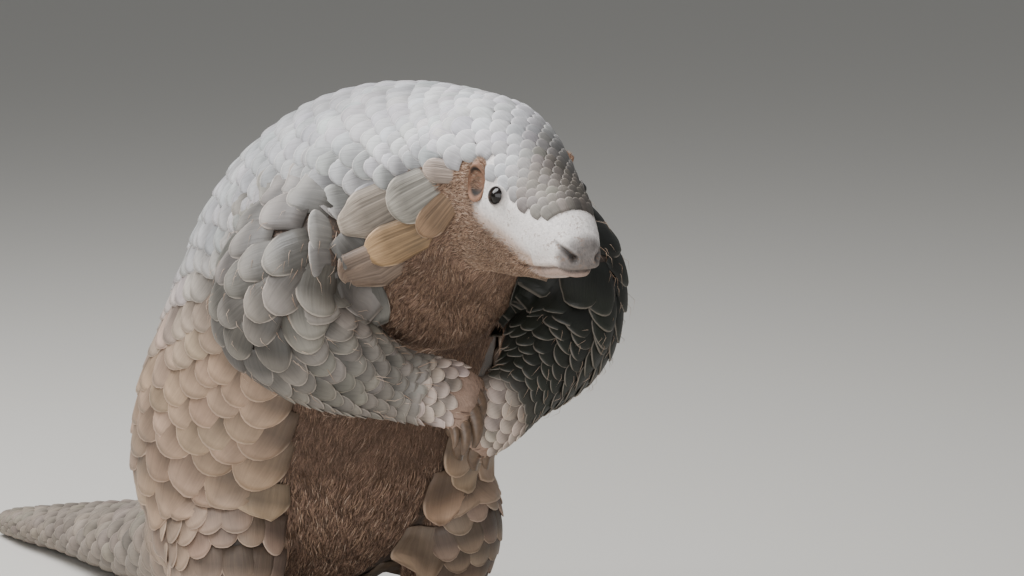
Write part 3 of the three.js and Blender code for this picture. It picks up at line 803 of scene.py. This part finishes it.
def lay_scales(
    name, line_index, start, end, columns, spacing, least, length=1.5, lift=0.15, breadth=1.24
):
    """Rows of scales on a body line from one station to another, each bent to the skin."""
    line = LINES[line_index]
    u, phi, width = rows_of_scales(line, start, end, columns, spacing, least)
    root = line.skin(u, phi, -SKIN_DEPTH)
    seat, normal = on_skin(root)
    back, _, outward = line.lie(u, phi)
    back = unit(back)
    if line_index in (1, 2):
        back = mix(TO_TAIL, back, ramp(u, 1.8, 3.6))
    middle = seat + back * width[:, None] * 0.6
    keep = np.linalg.norm(seat - root, axis=1) < ROOT_REACH
    keep &= np.sum(normal * outward, axis=1) > 0.25
    keep &= is_free(line_index, seat, middle, phi)
    tables = (u, phi, width, seat, normal, back, outward)
    u, phi, width, seat, normal, back, outward = (table[keep] for table in tables)
    out = unit(normal * 0.6 + outward)
    along = towards(back, out)
    along = unit(along + np.cross(along, out) * dice.normal(0, 0.055, len(u))[:, None])
    scale_width = width * breadth * (1 + dice.normal(0, 0.035, len(u)))
    scale_length = width * length * (1 + dice.normal(0, 0.04, len(u)))
    _, strain = bend_to_skin(seat, along, out, scale_width, scale_length, lift)
    scale_length = np.where(strain > STIFF, 0.62, 1) * scale_length
    laid, strain = bend_to_skin(seat, along, out, scale_width, scale_length, lift)
    calm = strain < TORN
    laid, u, phi, width = laid[calm], u[calm], phi[calm], width[calm]
    # painted shade at the scales' roots
    colours = shield_colours(horn_colour(line_index, u, phi), root_shade_at(line_index, u, phi))
    patch = np.clip(PATCH_SHARE * width, PATCH_LEAST, PATCH_MOST)
    roots = unwrap(np.full(len(u), line_index), u, phi)
    return joined_copies(name, laid, SHIELD_FACES, SHIELD_MAP, roots, patch, colours)


# %% [markdown]
# Behind and below each ear lie six long, strongly ribbed scales that stick out over the hair of the
# throat, and two broad ones close the fold between the neck and each arm. They are placed one by
# one: root and tip as station and angle of the body line, then width, height over the skin, and
# colour. The rear ones come first, and the front ones lie over them.

# %% Scales laid one by one
HAND_ROOT = 3.5  # mm that the root of such a scale lies under the skin
RIBBED = [
    ((5.75, 126), (6.95, 121), 26, 0.3, "#94806f"),
    ((5.40, 100), (6.50, 107), 27, 1.0, "#a39689"),
    ((4.95, 120), (6.32, 120), 22, 4.2, "#a98a68"),
    ((4.60, 91), (5.70, 106), 26, 2.2, "#a19a90"),
    ((4.25, 95), (5.22, 121), 16, 3.2, "#8e7158"),
    ((4.15, 80), (4.95, 88), 13, 2.2, "#b5a294"),
]
SHOULDER = [
    ((1.44, 105), (1.72, 81), 24, 0.4, "#85817c"),
    ((1.15, 96), (1.32, 73), 25, 0.8, "#8f8c87"),
]


def ends_of(rows, lines):
    """Stations, angles and spots of the scales' roots and tips, on the right and left side in turn."""
    ends, spots = [], []
    for row in rows:
        for line_index, sign in zip(lines, (-1, 1)):
            end = np.array([(u, math.radians(sign * angle)) for u, angle in row[:2]])
            ends.append(end)
            spots.append(LINES[line_index].skin(end[:, 0], end[:, 1], -SKIN_DEPTH))
    return np.array(ends), np.array(spots)


RIBBED_SPOTS = ends_of(RIBBED, (0, 0))[1]


def lay_by_hand(name, rows, lines):
    ends, spots = ends_of(rows, lines)
    width, high = (np.repeat([row[k] for row in rows], 2).astype(float) for k in (2, 3))
    tone = np.repeat([linear(row[4]) for row in rows], 2, axis=0)
    seat, normal = on_skin(spots[:, 0])
    tip, tip_normal = on_skin(spots[:, 1])
    out = unit(normal + tip_normal)
    reach = tip - seat
    length = np.linalg.norm(reach, axis=1) * 1.08
    laid, _ = bend_to_skin(seat, towards(reach, out), out, width, length, 0.1, LONG_SHIELD)
    share = SHIELD_MAP[None, :, 1:2]
    rise = high[:, None, None] * (0.25 + 0.75 * share) - HAND_ROOT * np.clip(1 - share / 0.3, 0, 1)
    laid = laid + out[:, None] * rise
    roots = unwrap(np.tile(lines, len(rows)), ends[:, 0, 0], ends[:, 0, 1])
    # painted shade at the roots of these scales too
    colours = shield_colours(tone, np.full((len(tone), 1), 0.35))
    return joined_copies(name, laid, SHIELD_FACES, SHIELD_MAP, roots, PATCH_MOST, colours)


ribbed_piece = lay_by_hand("scales_behind_ears", RIBBED, (0, 0))
scale_pieces = [
    ribbed_piece,
    lay_scales("scales_tail", 0, 12.9, 18.97, 12, 0.52, 7),
    lay_scales("scales_body", 0, 6.5, 13.1, 18, 0.52, 8),
    lay_scales("scales_neck", 0, 4.7, 6.75, 12, 0.55, 5),
    lay_scales("scales_head", 0, 1.5, 4.8, 7, 0.66, 4.2, 1.15, 0.12, 1.14),
    lay_by_hand("scales_shoulders", SHOULDER, (1, 2)),
]
for part, right_line, *run in (
    ("arm", 1, 0.2, 5.0, 8, 0.54, 6),
    ("hand", 1, 4.9, 7.0, 5, 0.56, 4.5, 1.2, 0.11, 1.14),
    ("leg", 3, 0.3, 4.0, 9, 0.54, 8),
    ("foot", 5, 2.2, 4.8, 7, 0.54, 4.5),
):
    for k, side in enumerate(SIDES):
        scale_pieces.append(lay_scales(f"scales_{part}_{side}", right_line + k, *run))

# %% [markdown]
# The throat, belly, cheeks and the inner sides of the limbs have short, rough hair that lies flat.
# A tuft is a thin, three-sided spike with one bend. Roots are drawn evenly over the haired skin with
# a fixed seed, and each tuft leans backwards along the body, as the real coat does. Long runs of
# tufts are split into pieces from right to left.

# %% Hair
TUFT = np.array(  # side, reach and height of a tuft's points, as shares of its width and length
    [(-0.5, 0, 0), (0.5, 0, 0), (0, 0, 1), (-0.38, 0.5, 0), (0.38, 0.5, 0), (0, 0.5, 1), (0, 1, 0)]
)
TUFT_FACES = [(0, 2, 1), (0, 1, 4, 3), (1, 2, 5, 4), (2, 0, 3, 5), (3, 4, 6), (4, 5, 6), (5, 3, 6)]
TUFTS_IN_PIECE = 18000
HAIR = np.array([linear(colour) for colour in ("#6e5748", "#8b6f5e", "#ab8d76", "#c6ad99")])


def face_is_bare(points):
    """1 where the face has bare skin: in front of the ear and above the line to the mouth's corner."""
    edge = 281 - (points[:, 0] - 205) * 0.55
    before_ear = np.clip((points[:, 0] - 207) / 7, 0, 1) * np.clip((points[:, 2] - edge) / 9, 0, 1)
    return np.maximum(before_ear, np.clip((points[:, 0] - 236) / 8, 0, 1))


def hair_share(points):
    """How thickly hair grows at points of the skin, from 0 to 1."""
    line_index, u, phi, past = places(points)
    share = np.clip((past + 5) / 6, 0, 1)
    is_head = (line_index == 0) & (u < 5.2)
    share = np.where(is_head, share * (1 - face_is_bare(points)), share)
    foot = (line_index >= 5) | ((line_index > 0) & (line_index < 3) & (u > 5.2))
    share = np.where(foot, share * 0.12, share)
    share = np.where(points[:, 2] < 2.5, 0, share)
    for flip in SIDES.values():
        share = np.where(np.linalg.norm(points - EYE_AT * flip, axis=1) < 9, 0, share)
    return share, line_index, u, phi, past


def ground_of(obj):
    """The triangles of a mesh, their areas and the way they face."""
    obj.data.calc_loop_triangles()
    corners = np.empty(len(obj.data.loop_triangles) * 3, int)
    obj.data.loop_triangles.foreach_get("vertices", corners)
    triangles = read_points(obj)[0][corners.reshape(-1, 3)]
    facing = np.cross(triangles[:, 1] - triangles[:, 0], triangles[:, 2] - triangles[:, 0])
    return triangles, np.linalg.norm(facing, axis=1) / 2, unit(facing)


triangles, areas, facing_out = ground_of(skin)
share, hair_line, hair_u, hair_phi, hair_past = hair_share(triangles.mean(axis=1))
ground = (triangles, areas, facing_out, hair_line, hair_u, hair_phi)


def grow_hair(name, chances, density, length, width, odds, lean=0.2, ground=ground):
    """Tufts on the ground's triangles, density on each square millimetre where the chance is 1.

    odds are the shares of the four colours of hair."""
    triangles, areas, facing_out, line_of, u, phi = ground
    chances = areas * chances
    count = int(chances.sum() * density)
    pick = dice.choice(len(areas), count, p=chances / chances.sum())
    pick = pick[np.argsort(triangles[pick, 0, 1], kind="stable")]
    a, b = dice.random(count), dice.random(count)
    fold = a + b > 1
    a, b = np.where(fold, 1 - a, a)[:, None], np.where(fold, 1 - b, b)[:, None]
    tri = triangles[pick]
    root = tri[:, 0] * (1 - a - b) + tri[:, 1] * a + tri[:, 2] * b
    out = facing_out[pick]
    back = np.zeros((count, 3))
    for k, line in enumerate(LINES):
        mine = line_of[pick] == k
        if mine.any():
            back[mine] = line.lie(u[pick][mine], phi[pick][mine])[0]
    along = towards(unit(back) + np.array((0, 0, -0.35)), out)
    swirl = 0.4 * np.sin(root @ (0.11, 0.17, 0.13)) * np.sin(root @ (-0.07, 0.12, 0.21))
    along = unit(along + np.cross(along, out) * (swirl + dice.normal(0, 0.22, count))[:, None])
    side = np.cross(along, out)
    long = (length * (0.7 + 0.6 * dice.random(count)))[:, None, None]
    rise = lean * (0.5 + dice.random(count))[:, None, None]
    reach = TUFT[None, :, 1:2]
    copies = root[:, None] - out[:, None] * 0.25
    copies = copies + side[:, None] * TUFT[None, :, 0:1] * width + along[:, None] * reach * long
    arch = long * rise * reach * (1.35 - reach)
    copies = copies + out[:, None] * (TUFT[None, :, 2:3] * width * 0.5 + arch)
    draw = np.searchsorted(np.cumsum(odds), dice.random(count) * 0.999)
    clumps = np.sin(root @ (0.31, 0.22, -0.27)) * np.cos(root @ (0.19, -0.33, 0.24))
    patches = np.sin(root @ (0.09, 0.05, -0.12)) * np.cos(root @ (0.05, -0.1, 0.07))
    tone = HAIR[draw] * (1 + dice.normal(0, 0.05, (count, 1)))
    tone = tone * (1 + 0.08 * clumps + 0.1 * patches)[:, None]
    # each tuft is darker at its root and lighter at its tip, partly the hair's own colour and partly
    # painted shade deep in the coat
    colours = tone[:, None] * (0.88 + 0.16 * reach)
    roots = unwrap(line_of[pick], u[pick], phi[pick])
    pieces = math.ceil(count / TUFTS_IN_PIECE)
    made = []
    for k, part in enumerate(np.array_split(np.arange(count), pieces)):
        title = f"{name}_{k + 1}" if pieces > 1 else name
        spots = (copies[part], TUFT_FACES, TUFT[:, :2] + np.array((0.5, 0)), roots[part])
        made.append(joined_copies(title, *spots, PATCH_LEAST, colours[part]))
    return made


trunk_hair, limb_hair = share * (hair_line == 0), share * (hair_line > 0)
throat = trunk_hair * ((hair_u > 4.6) & (hair_u <= 8.2))
belly = trunk_hair * ((hair_u > 8.2) & (hair_u <= 11))
on_arms = (hair_line == 1) | (hair_line == 2)
between_scales = 1.0 * (on_arms & (hair_past < -8) & (hair_u > 1) & (hair_u < 6))
hair_pieces = []
for coat in (
    ("hair_throat", throat, 2.0, 8, 0.34, (0.16, 0.46, 0.34, 0.04)),
    ("hair_cheeks", trunk_hair * (hair_u <= 4.6), 3.0, 3.6, 0.3, (0.02, 0.2, 0.53, 0.25)),
    ("hair_belly", belly, 1.6, 8, 0.38, (0.46, 0.44, 0.09, 0.01)),
    ("hair_rump", trunk_hair * (hair_u > 11), 0.5, 9, 0.6, (0.3, 0.45, 0.2, 0.05)),
    ("hair_limbs", limb_hair, 0.8, 5.5, 0.42, (0.3, 0.42, 0.22, 0.06)),
    ("bristles_arms", between_scales, 0.012, 12, 0.32, (0, 0, 0.4, 0.6), 0.75),
):
    hair_pieces += grow_hair(*coat)

# %% [markdown]
# Claws are hollow cones of dark keratin, pressed flat from the sides, that curve down. Each one is a
# tube along its own line, with its root sunk in the toe.


# %% Claws
claws = {}
for name, foot in FEET.items():
    for k, digit in enumerate(foot[1]):
        bm = bmesh.new()
        add_tube(bm, digit_lines(foot, digit)[1], 18, 16)
        node = f"{name}_{k + 1}"
        claws[node] = smooth_object(node.replace("claw", "_claw"), bm)

# %% [markdown]
# The eye is a small, nearly black globe. Its front is a clear, wet dome, which is what gives the
# single bright glint. One ball with a slight bulge to the front is enough for both.

# %% Eyes
eyes = {}
for side, flip in SIDES.items():
    bm = bmesh.new()
    centre, facing = Vector(EYE_AT * flip), Vector(EYE_FACING * flip)
    turn = facing.to_track_quat("Z", "Y").to_matrix()
    for vert in add_ball(bm, centre, (EYE_RADIUS - 0.15,) * 3, turn, 40):
        front = max(0.0, (vert.co - centre).normalized().dot(facing))
        vert.co += facing * 0.5 * front**10
    eyes[side] = smooth_object(f"eyeball_{side}", bm)

# %% [markdown]
# The ear is a low, fleshy cup with a thick rim behind and a deep, dark hollow in front. A ball is
# squeezed to the cup's outline, and the points that look into the hollow are pushed inwards.

# %% Ears
EAR_HOLLOW = np.array(Vector((0.5, -0.86, -0.05)).normalized())
HOLLOW_DEPTH = 6.5
ears = {}
for side, flip in SIDES.items():
    bm = bmesh.new()
    centre, hollow = Vector(EAR_AT * flip), Vector(EAR_HOLLOW * flip)
    turn = Matrix.Rotation(-flip[1] * math.radians(14), 3, "X")
    for vert in add_ball(bm, centre, EAR_RADII, turn, 48):
        facing = (vert.co - centre).normalized().dot(hollow)
        depth = max(0.0, (facing - 0.25) / 0.75)
        vert.co -= hollow * HOLLOW_DEPTH * (depth * depth * (3 - 2 * depth))
        vert.co += hollow * 0.6 * math.exp(-(((facing - 0.2) / 0.12) ** 2))
    ears[side] = smooth_object(f"ear_cup_{side}", bm)

# %% [markdown]
# Short tan hair runs over the back and the edge of the ear, thin enough to leave the hollow open.

# %% Hair of the ears
for side, flip in SIDES.items():
    triangles, areas, facing_out = ground_of(ears[side])
    rel = unit(triangles.mean(axis=1) - EAR_AT * flip)
    outer = 1.0 * (rel @ (EAR_HOLLOW * flip) < 0.12)
    station, angle = np.full(len(areas), 4.0), np.full(len(areas), -flip[1] * math.radians(90))
    ear_ground = (triangles, areas, facing_out, np.zeros(len(areas), int), station, angle)
    coat = (outer, 3.5, 2.8, 0.26, (0, 0.3, 0.5, 0.2), 0.35, ear_ground)
    hair_pieces += grow_hair(f"hair_ear_{side}", *coat)

# %% [markdown]
# Every surface gets a procedural material. They are built from Blender's nodes in code, so one small
# function adds a node, sets it up and links it. Patterns read the object's own coordinates in metres
# or the flat map that each scale carries, so their sizes are real ones.


# %% Helpers for materials
def fill(tree, node, values):
    """Sets a node's inputs to values, or links sockets to them."""
    for key, value in values.items():
        if isinstance(value, bpy.types.NodeSocket):
            tree.links.new(value, node.inputs[key])
        else:
            node.inputs[key].default_value = value


def add(tree, kind, values=None, **settings):
    """Adds a node. values are for its inputs, settings are its own options."""
    made = tree.nodes.new(kind)
    for key, value in settings.items():
        setattr(made, key, value)
    fill(tree, made, values or {})
    return made


def new_material(name):
    material = bpy.data.materials.new(name)
    material.use_nodes = True
    return material, material.node_tree


def tint_of(tree):
    return add(tree, "ShaderNodeAttribute", attribute_name="Tint").outputs["Color"]


def place_of(tree):
    return add(tree, "ShaderNodeTexCoord").outputs["Object"]


def finish(material, *objects, **inputs):
    """Fills the Principled shader's inputs, with _ for a space, and gives the material to objects."""
    tree = material.node_tree
    values = {key.replace("_", " "): value for key, value in inputs.items()}
    fill(tree, tree.nodes["Principled BSDF"], values)
    for obj in objects:
        obj.data.materials.clear()
        obj.data.materials.append(material)


def rgba(colour):
    return (*linear(colour), 1)


def map_range(tree, value, low, high, to_low=0.0, to_high=1.0):
    values = {"Value": value, 1: low, 2: high, 3: to_low, 4: to_high}
    return add(tree, "ShaderNodeMapRange", values).outputs[0]


def combine(tree, operation, a, b=0.0):
    return add(tree, "ShaderNodeMath", {0: a, 1: b}, operation=operation).outputs[0]


def blend(tree, factor, a, b):
    """Colour a turned into colour b by a factor."""
    values = {"Factor": factor, "A": a, "B": b}
    return add(tree, "ShaderNodeMix", values, data_type="RGBA").outputs["Result"]


def scaled(tree, colour, share):
    values = {0: colour, "Scale": share}
    return add(tree, "ShaderNodeVectorMath", values, operation="SCALE").outputs[0]


def noise(tree, place, scale, detail=3):
    values = {"Vector": place, "Scale": scale, "Detail": detail}
    return add(tree, "ShaderNodeTexNoise", values).outputs["Fac"]


def bump(tree, height, strength, depth):
    """A normal from a relief that is depth metres deep."""
    values = {"Height": height, "Strength": strength, "Distance": depth}
    return add(tree, "ShaderNodeBump", values).outputs[0]


# %% [markdown]
# The scales are keratin that has grown in fine ribs from root to edge and is worn matt by soil and
# burrowing. Ribs lie about half a millimetre apart, drawn a little coarser so that they show. The
# thin free edge has lost its pigment and is pale. Dust lies in blotches a centimetre or two across.


# %% Keratin of the scales
def keratin_of(name, darkest, brightest, relief, *objects):
    """Ribbed horn with a pale free edge. The ribs shade the colour between the two shares."""
    material, tree = new_material(name)
    tint, place = tint_of(tree), place_of(tree)
    lie_map = add(tree, "ShaderNodeUVMap", uv_map="Lie").outputs["UV"]
    stretch = {"Vector": lie_map, "Scale": (30, 1.4, 1)}
    rib_space = add(tree, "ShaderNodeMapping", stretch).outputs["Vector"]
    shuffle = add(tree, "ShaderNodeVectorMath", {0: rib_space, 1: place}, operation="ADD").outputs[0]
    ribs, dust = noise(tree, shuffle, 1.0), noise(tree, place, 60, 4)
    halves = add(tree, "ShaderNodeSeparateXYZ", {"Vector": lie_map})
    across, reach = halves.outputs["X"], halves.outputs["Y"]
    near_root = map_range(tree, reach, 0.35, 0.95, 1.0, 0.45)
    rib_shade = combine(tree, "SUBTRACT", map_range(tree, ribs, 0.3, 0.7, darkest, brightest), 1.0)
    rib_shade = combine(tree, "ADD", combine(tree, "MULTIPLY", rib_shade, near_root), 1.0)
    shade = combine(tree, "MULTIPLY", rib_shade, map_range(tree, dust, 0.3, 0.7, 0.76, 1.2))
    off_middle = combine(tree, "ABSOLUTE", combine(tree, "SUBTRACT", across, 0.5))
    flanks = map_range(tree, off_middle, 0.455, 0.485)
    flanks = combine(tree, "MULTIPLY", flanks, map_range(tree, reach, 0.3, 0.5))
    rim = combine(tree, "MAXIMUM", flanks, map_range(tree, reach, 0.95, 0.985))
    pale = blend(tree, 0.3, scaled(tree, tint, 1.75), rgba("#d9c8ba"))
    finish(
        material,
        *objects,
        Base_Color=blend(tree, combine(tree, "MULTIPLY", rim, 0.75), scaled(tree, tint, shade), pale),
        Roughness=map_range(tree, dust, 0.3, 0.7, 0.45, 0.68),
        Normal=bump(tree, ribs, relief, 0.0006),
    )


keratin_of("worn ribbed keratin", 0.84, 1.12, 0.4, *scale_pieces)
keratin_of("strongly ribbed keratin", 0.55, 1.25, 0.8, ribbed_piece)

# %% [markdown]
# The skin carries the same markings as the coat: almost white and speckled on the bare face, grey on
# the nose, pinkish on the feet, and brown under the hair. Under the scales and in the nostrils it is
# painted dark, as painted shade. The main colour is worked out for each point from its place on the body
# and kept as an attribute, and the shader adds pores and speckles.

# %% Colours of the skin
HIDE = {
    "face": "#fbf4f0",
    "cheek": "#b8947a",
    "nose": "#574e4a",
    "lid": "#2a211e",
    "lip": "#b89a8c",
    "under_hair": "#58402f",
    # painted shade: the skin under the scales is dark
    "shade_under_scales": "#4b4039",
    "foot": "#a98d7c",
    "nostril_shade": "#120d0b",
}
points, _ = read_points(skin)
skin_line, skin_u, _, past_scales = places(points)
# the skin starts dark everywhere, as painted shade under the scales
hide = np.tile(linear(HIDE["shade_under_scales"]), (len(points), 1))

ahead = points[:, 0]
bare = face_is_bare(points) * ((skin_line == 0) & (skin_u < 5.2))
fur_edge = points[:, 2] - (287 - (ahead - 205) * 0.55)
nose_gap = np.linalg.norm(points - np.array(NOSE_AT), axis=1)
gap, _ = path_distance(points[:, [0, 2]], MOUTH)
under = np.interp(ahead, MOUTH[:, 0], MOUTH[:, 1]) - points[:, 2]
layers = [  # colours laid over one another, each with its share at every point
    ("under_hair", ramp(past_scales, -8, 2)[:, 0]),
    ("face", bare * ((past_scales > -40) | (skin_u < 2.4))),
    ("cheek", 0.55 * (np.clip((MOUTH[0, 1] + 7 - points[:, 2]) / 8, 0, 1) * bare)),
    ("cheek", 0.8 * bell(fur_edge, 6) * bare * (ahead < 246)),
    ("nose", (0.85 * ramp(-nose_gap, -14.5, -11.5) * ramp(ahead, 260, 266))[:, 0]),
    ("lip", 0.8 * bell(under - 2.5, 2.2) * bare * (ahead > 232)),
    ("lid", 0.75 * bell(gap, 0.7) * bare * (ahead > 231)),
]
for flip in SIDES.values():
    rel = points - EYE_AT * flip
    height = rel @ (EYE_FACING * flip)
    wide = np.sqrt(np.maximum(np.sum(rel**2, axis=1) - height**2, 0))
    layers += [
        ("face", ramp(-wide, -8.5, -7)[:, 0] * (height > 0)),
        ("lid", bell(wide - 4.1, 0.95) * (height > 0)),
    ]
on_feet = (skin_line >= 5) | ((skin_line > 0) & (skin_line < 3) & (skin_u > 5.4))
# the nostril slits are painted near black: painted shade inside them
layers += [("foot", 0.85 * on_feet), ("nostril_shade", nostril_shade_share)]
for tone, share in layers:
    hide = mix(hide, linear(HIDE[tone]), share[:, None])
add_tint(skin.data, hide)
skin.data.shade_smooth()

# %% [markdown]
# Skin is soft and slightly rough, with pores and fine creases a millimetre or less apart. A weak
# noise breaks up the colour in speckles, as the pale face of a pangolin has.

# %% Skin and hair materials
material, tree = new_material("bare and haired skin")
tint, place = tint_of(tree), place_of(tree)
speckle, blotch = noise(tree, place, 620), noise(tree, place, 120, 4)
mottle = map_range(tree, blotch, 0.3, 0.6, 0.84, 1.05)
shade = combine(tree, "MULTIPLY", map_range(tree, speckle, 0.35, 0.6, 0.82, 1.06), mottle)
patches = map_range(tree, blotch, 0.46, 0.62)
stains = combine(tree, "MULTIPLY", map_range(tree, speckle, 0.5, 0.62, 0.0, 0.65), patches)
colour = blend(tree, stains, scaled(tree, tint, shade), rgba("#7d6453"))
cells = {"Vector": place, "Scale": 900}
creases = add(tree, "ShaderNodeTexVoronoi", cells, feature="DISTANCE_TO_EDGE").outputs["Distance"]
pores = bump(tree, combine(tree, "ADD", creases, speckle), 0.5, 0.0005)
finish(material, skin, Base_Color=colour, Normal=pores, Roughness=0.6)

material, tree = new_material("rough short hair")
finish(material, *hair_pieces, Base_Color=tint_of(tree), Roughness=0.58)

# %% [markdown]
# The ear cup is bare brown skin, nearly hairless deep inside, where painted shade darkens it almost to
# black. Its colour follows the depth below the rim, which is worked out once for each point of its mesh.

# %% Ear skin
for side, flip in SIDES.items():
    rel = read_points(ears[side])[0] - EAR_AT * flip
    size = np.linalg.norm(rel / EAR_RADII, axis=1)
    # painted shade deep in the ear's hollow
    hollow_shade = ramp(-size, -0.95, -0.72) * ramp(unit(rel) @ (EAR_HOLLOW * flip), -0.2, 0.3)
    add_tint(ears[side].data, mix(linear("#94705a"), linear("#0f0906"), hollow_shade))
material, tree = new_material("ear skin")
grain = noise(tree, place_of(tree), 420)
colour = scaled(tree, tint_of(tree), map_range(tree, grain, 0.3, 0.7, 0.7, 1.15))
folds = bump(tree, grain, 0.6, 0.0007)
finish(material, *ears.values(), Base_Color=colour, Normal=folds, Roughness=0.65)

# %% [markdown]
# Claws are bare keratin, brown and finely mottled, with a worn, fairly smooth surface. The eye's
# glint comes from the clear coat over its dark ball.

# %% Claw horn and eye
material, tree = new_material("brown claw keratin")
mottling = noise(tree, place_of(tree), 330, 4)
colour = blend(tree, mottling, rgba("#3c2f26"), rgba("#7d6652"))
relief = bump(tree, mottling, 0.35, 0.0005)
finish(material, *claws.values(), Base_Color=colour, Normal=relief, Roughness=0.38)

material, tree = new_material("wet dark eye")
finish(
    material,
    *eyes.values(),
    Base_Color=blend(tree, noise(tree, place_of(tree), 700, 2), rgba("#050403"), rgba("#140c08")),
    Roughness=0.2,
    Specular_IOR_Level=0.25,
    Coat_Weight=0.3,
    Coat_Roughness=0.03,
)

# %% [markdown]
# The pieces now take the places of the solids. The skin stands for the flesh, the eyes, ears and
# claws each for their own node, and everything rides on the one still body.

# %% Pieces and the nodes that they stand for
FLESH = ["head", "neck", "torso_front", "torso_rear", "tail_base", "tail_middle", "tail_tip"]
LIMB_PARTS = ("upper_arm", "forearm", "forefoot", "thigh", "shin", "hindfoot")
FLESH += [f"{part}_{side}" for side in SIDES for part in LIMB_PARTS]

for piece in [skin, *scale_pieces, *hair_pieces, *claws.values(), *eyes.values(), *ears.values()]:
    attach(piece, "root")
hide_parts(*FLESH)
for node, piece in claws.items():
    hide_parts(node)
for side in SIDES:
    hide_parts(f"eye_{side}")
    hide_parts(f"ear_{side}")

# %% [markdown]
# The animal stands on a plain pale floor in soft studio light. A large lamp above and behind its
# right side gives the bright top of the back, a weaker one fills the face and the belly from the
# front, and the pale surroundings do the rest.

# %% Floor and lights
bm = bmesh.new()
bmesh.ops.create_grid(bm, x_segments=1, y_segments=1, size=6)
floor_mesh = bpy.data.meshes.new("floor")
bm.to_mesh(floor_mesh)
bm.free()
floor = bpy.data.objects.new("floor", floor_mesh)
bpy.context.collection.objects.link(floor)
material, _ = new_material("pale matt floor")
finish(material, floor, Base_Color=rgba("#cfccc6"), Roughness=0.9)

world = bpy.data.worlds.new("studio")
world.use_nodes = True
sky = world.node_tree.nodes["Background"]
fill(world.node_tree, sky, {"Color": rgba("#d9dbdc"), "Strength": 0.36})
bpy.context.scene.world = world


def add_lamp(name, spot, aim, size, power):
    data = bpy.data.lights.new(name, "AREA")
    data.size, data.energy = size, power
    lamp = bpy.data.objects.new(name, data)
    lamp.location = metres(spot)
    lamp.rotation_euler = (Vector(spot) - Vector(aim)).to_track_quat("Z", "Y").to_euler()
    bpy.context.collection.objects.link(lamp)


add_lamp("top light", (-250, -500, 1300), (60, 0, 220), 0.9, 30)
add_lamp("front fill", (1300, -900, 700), (120, 0, 230), 1.2, 15)
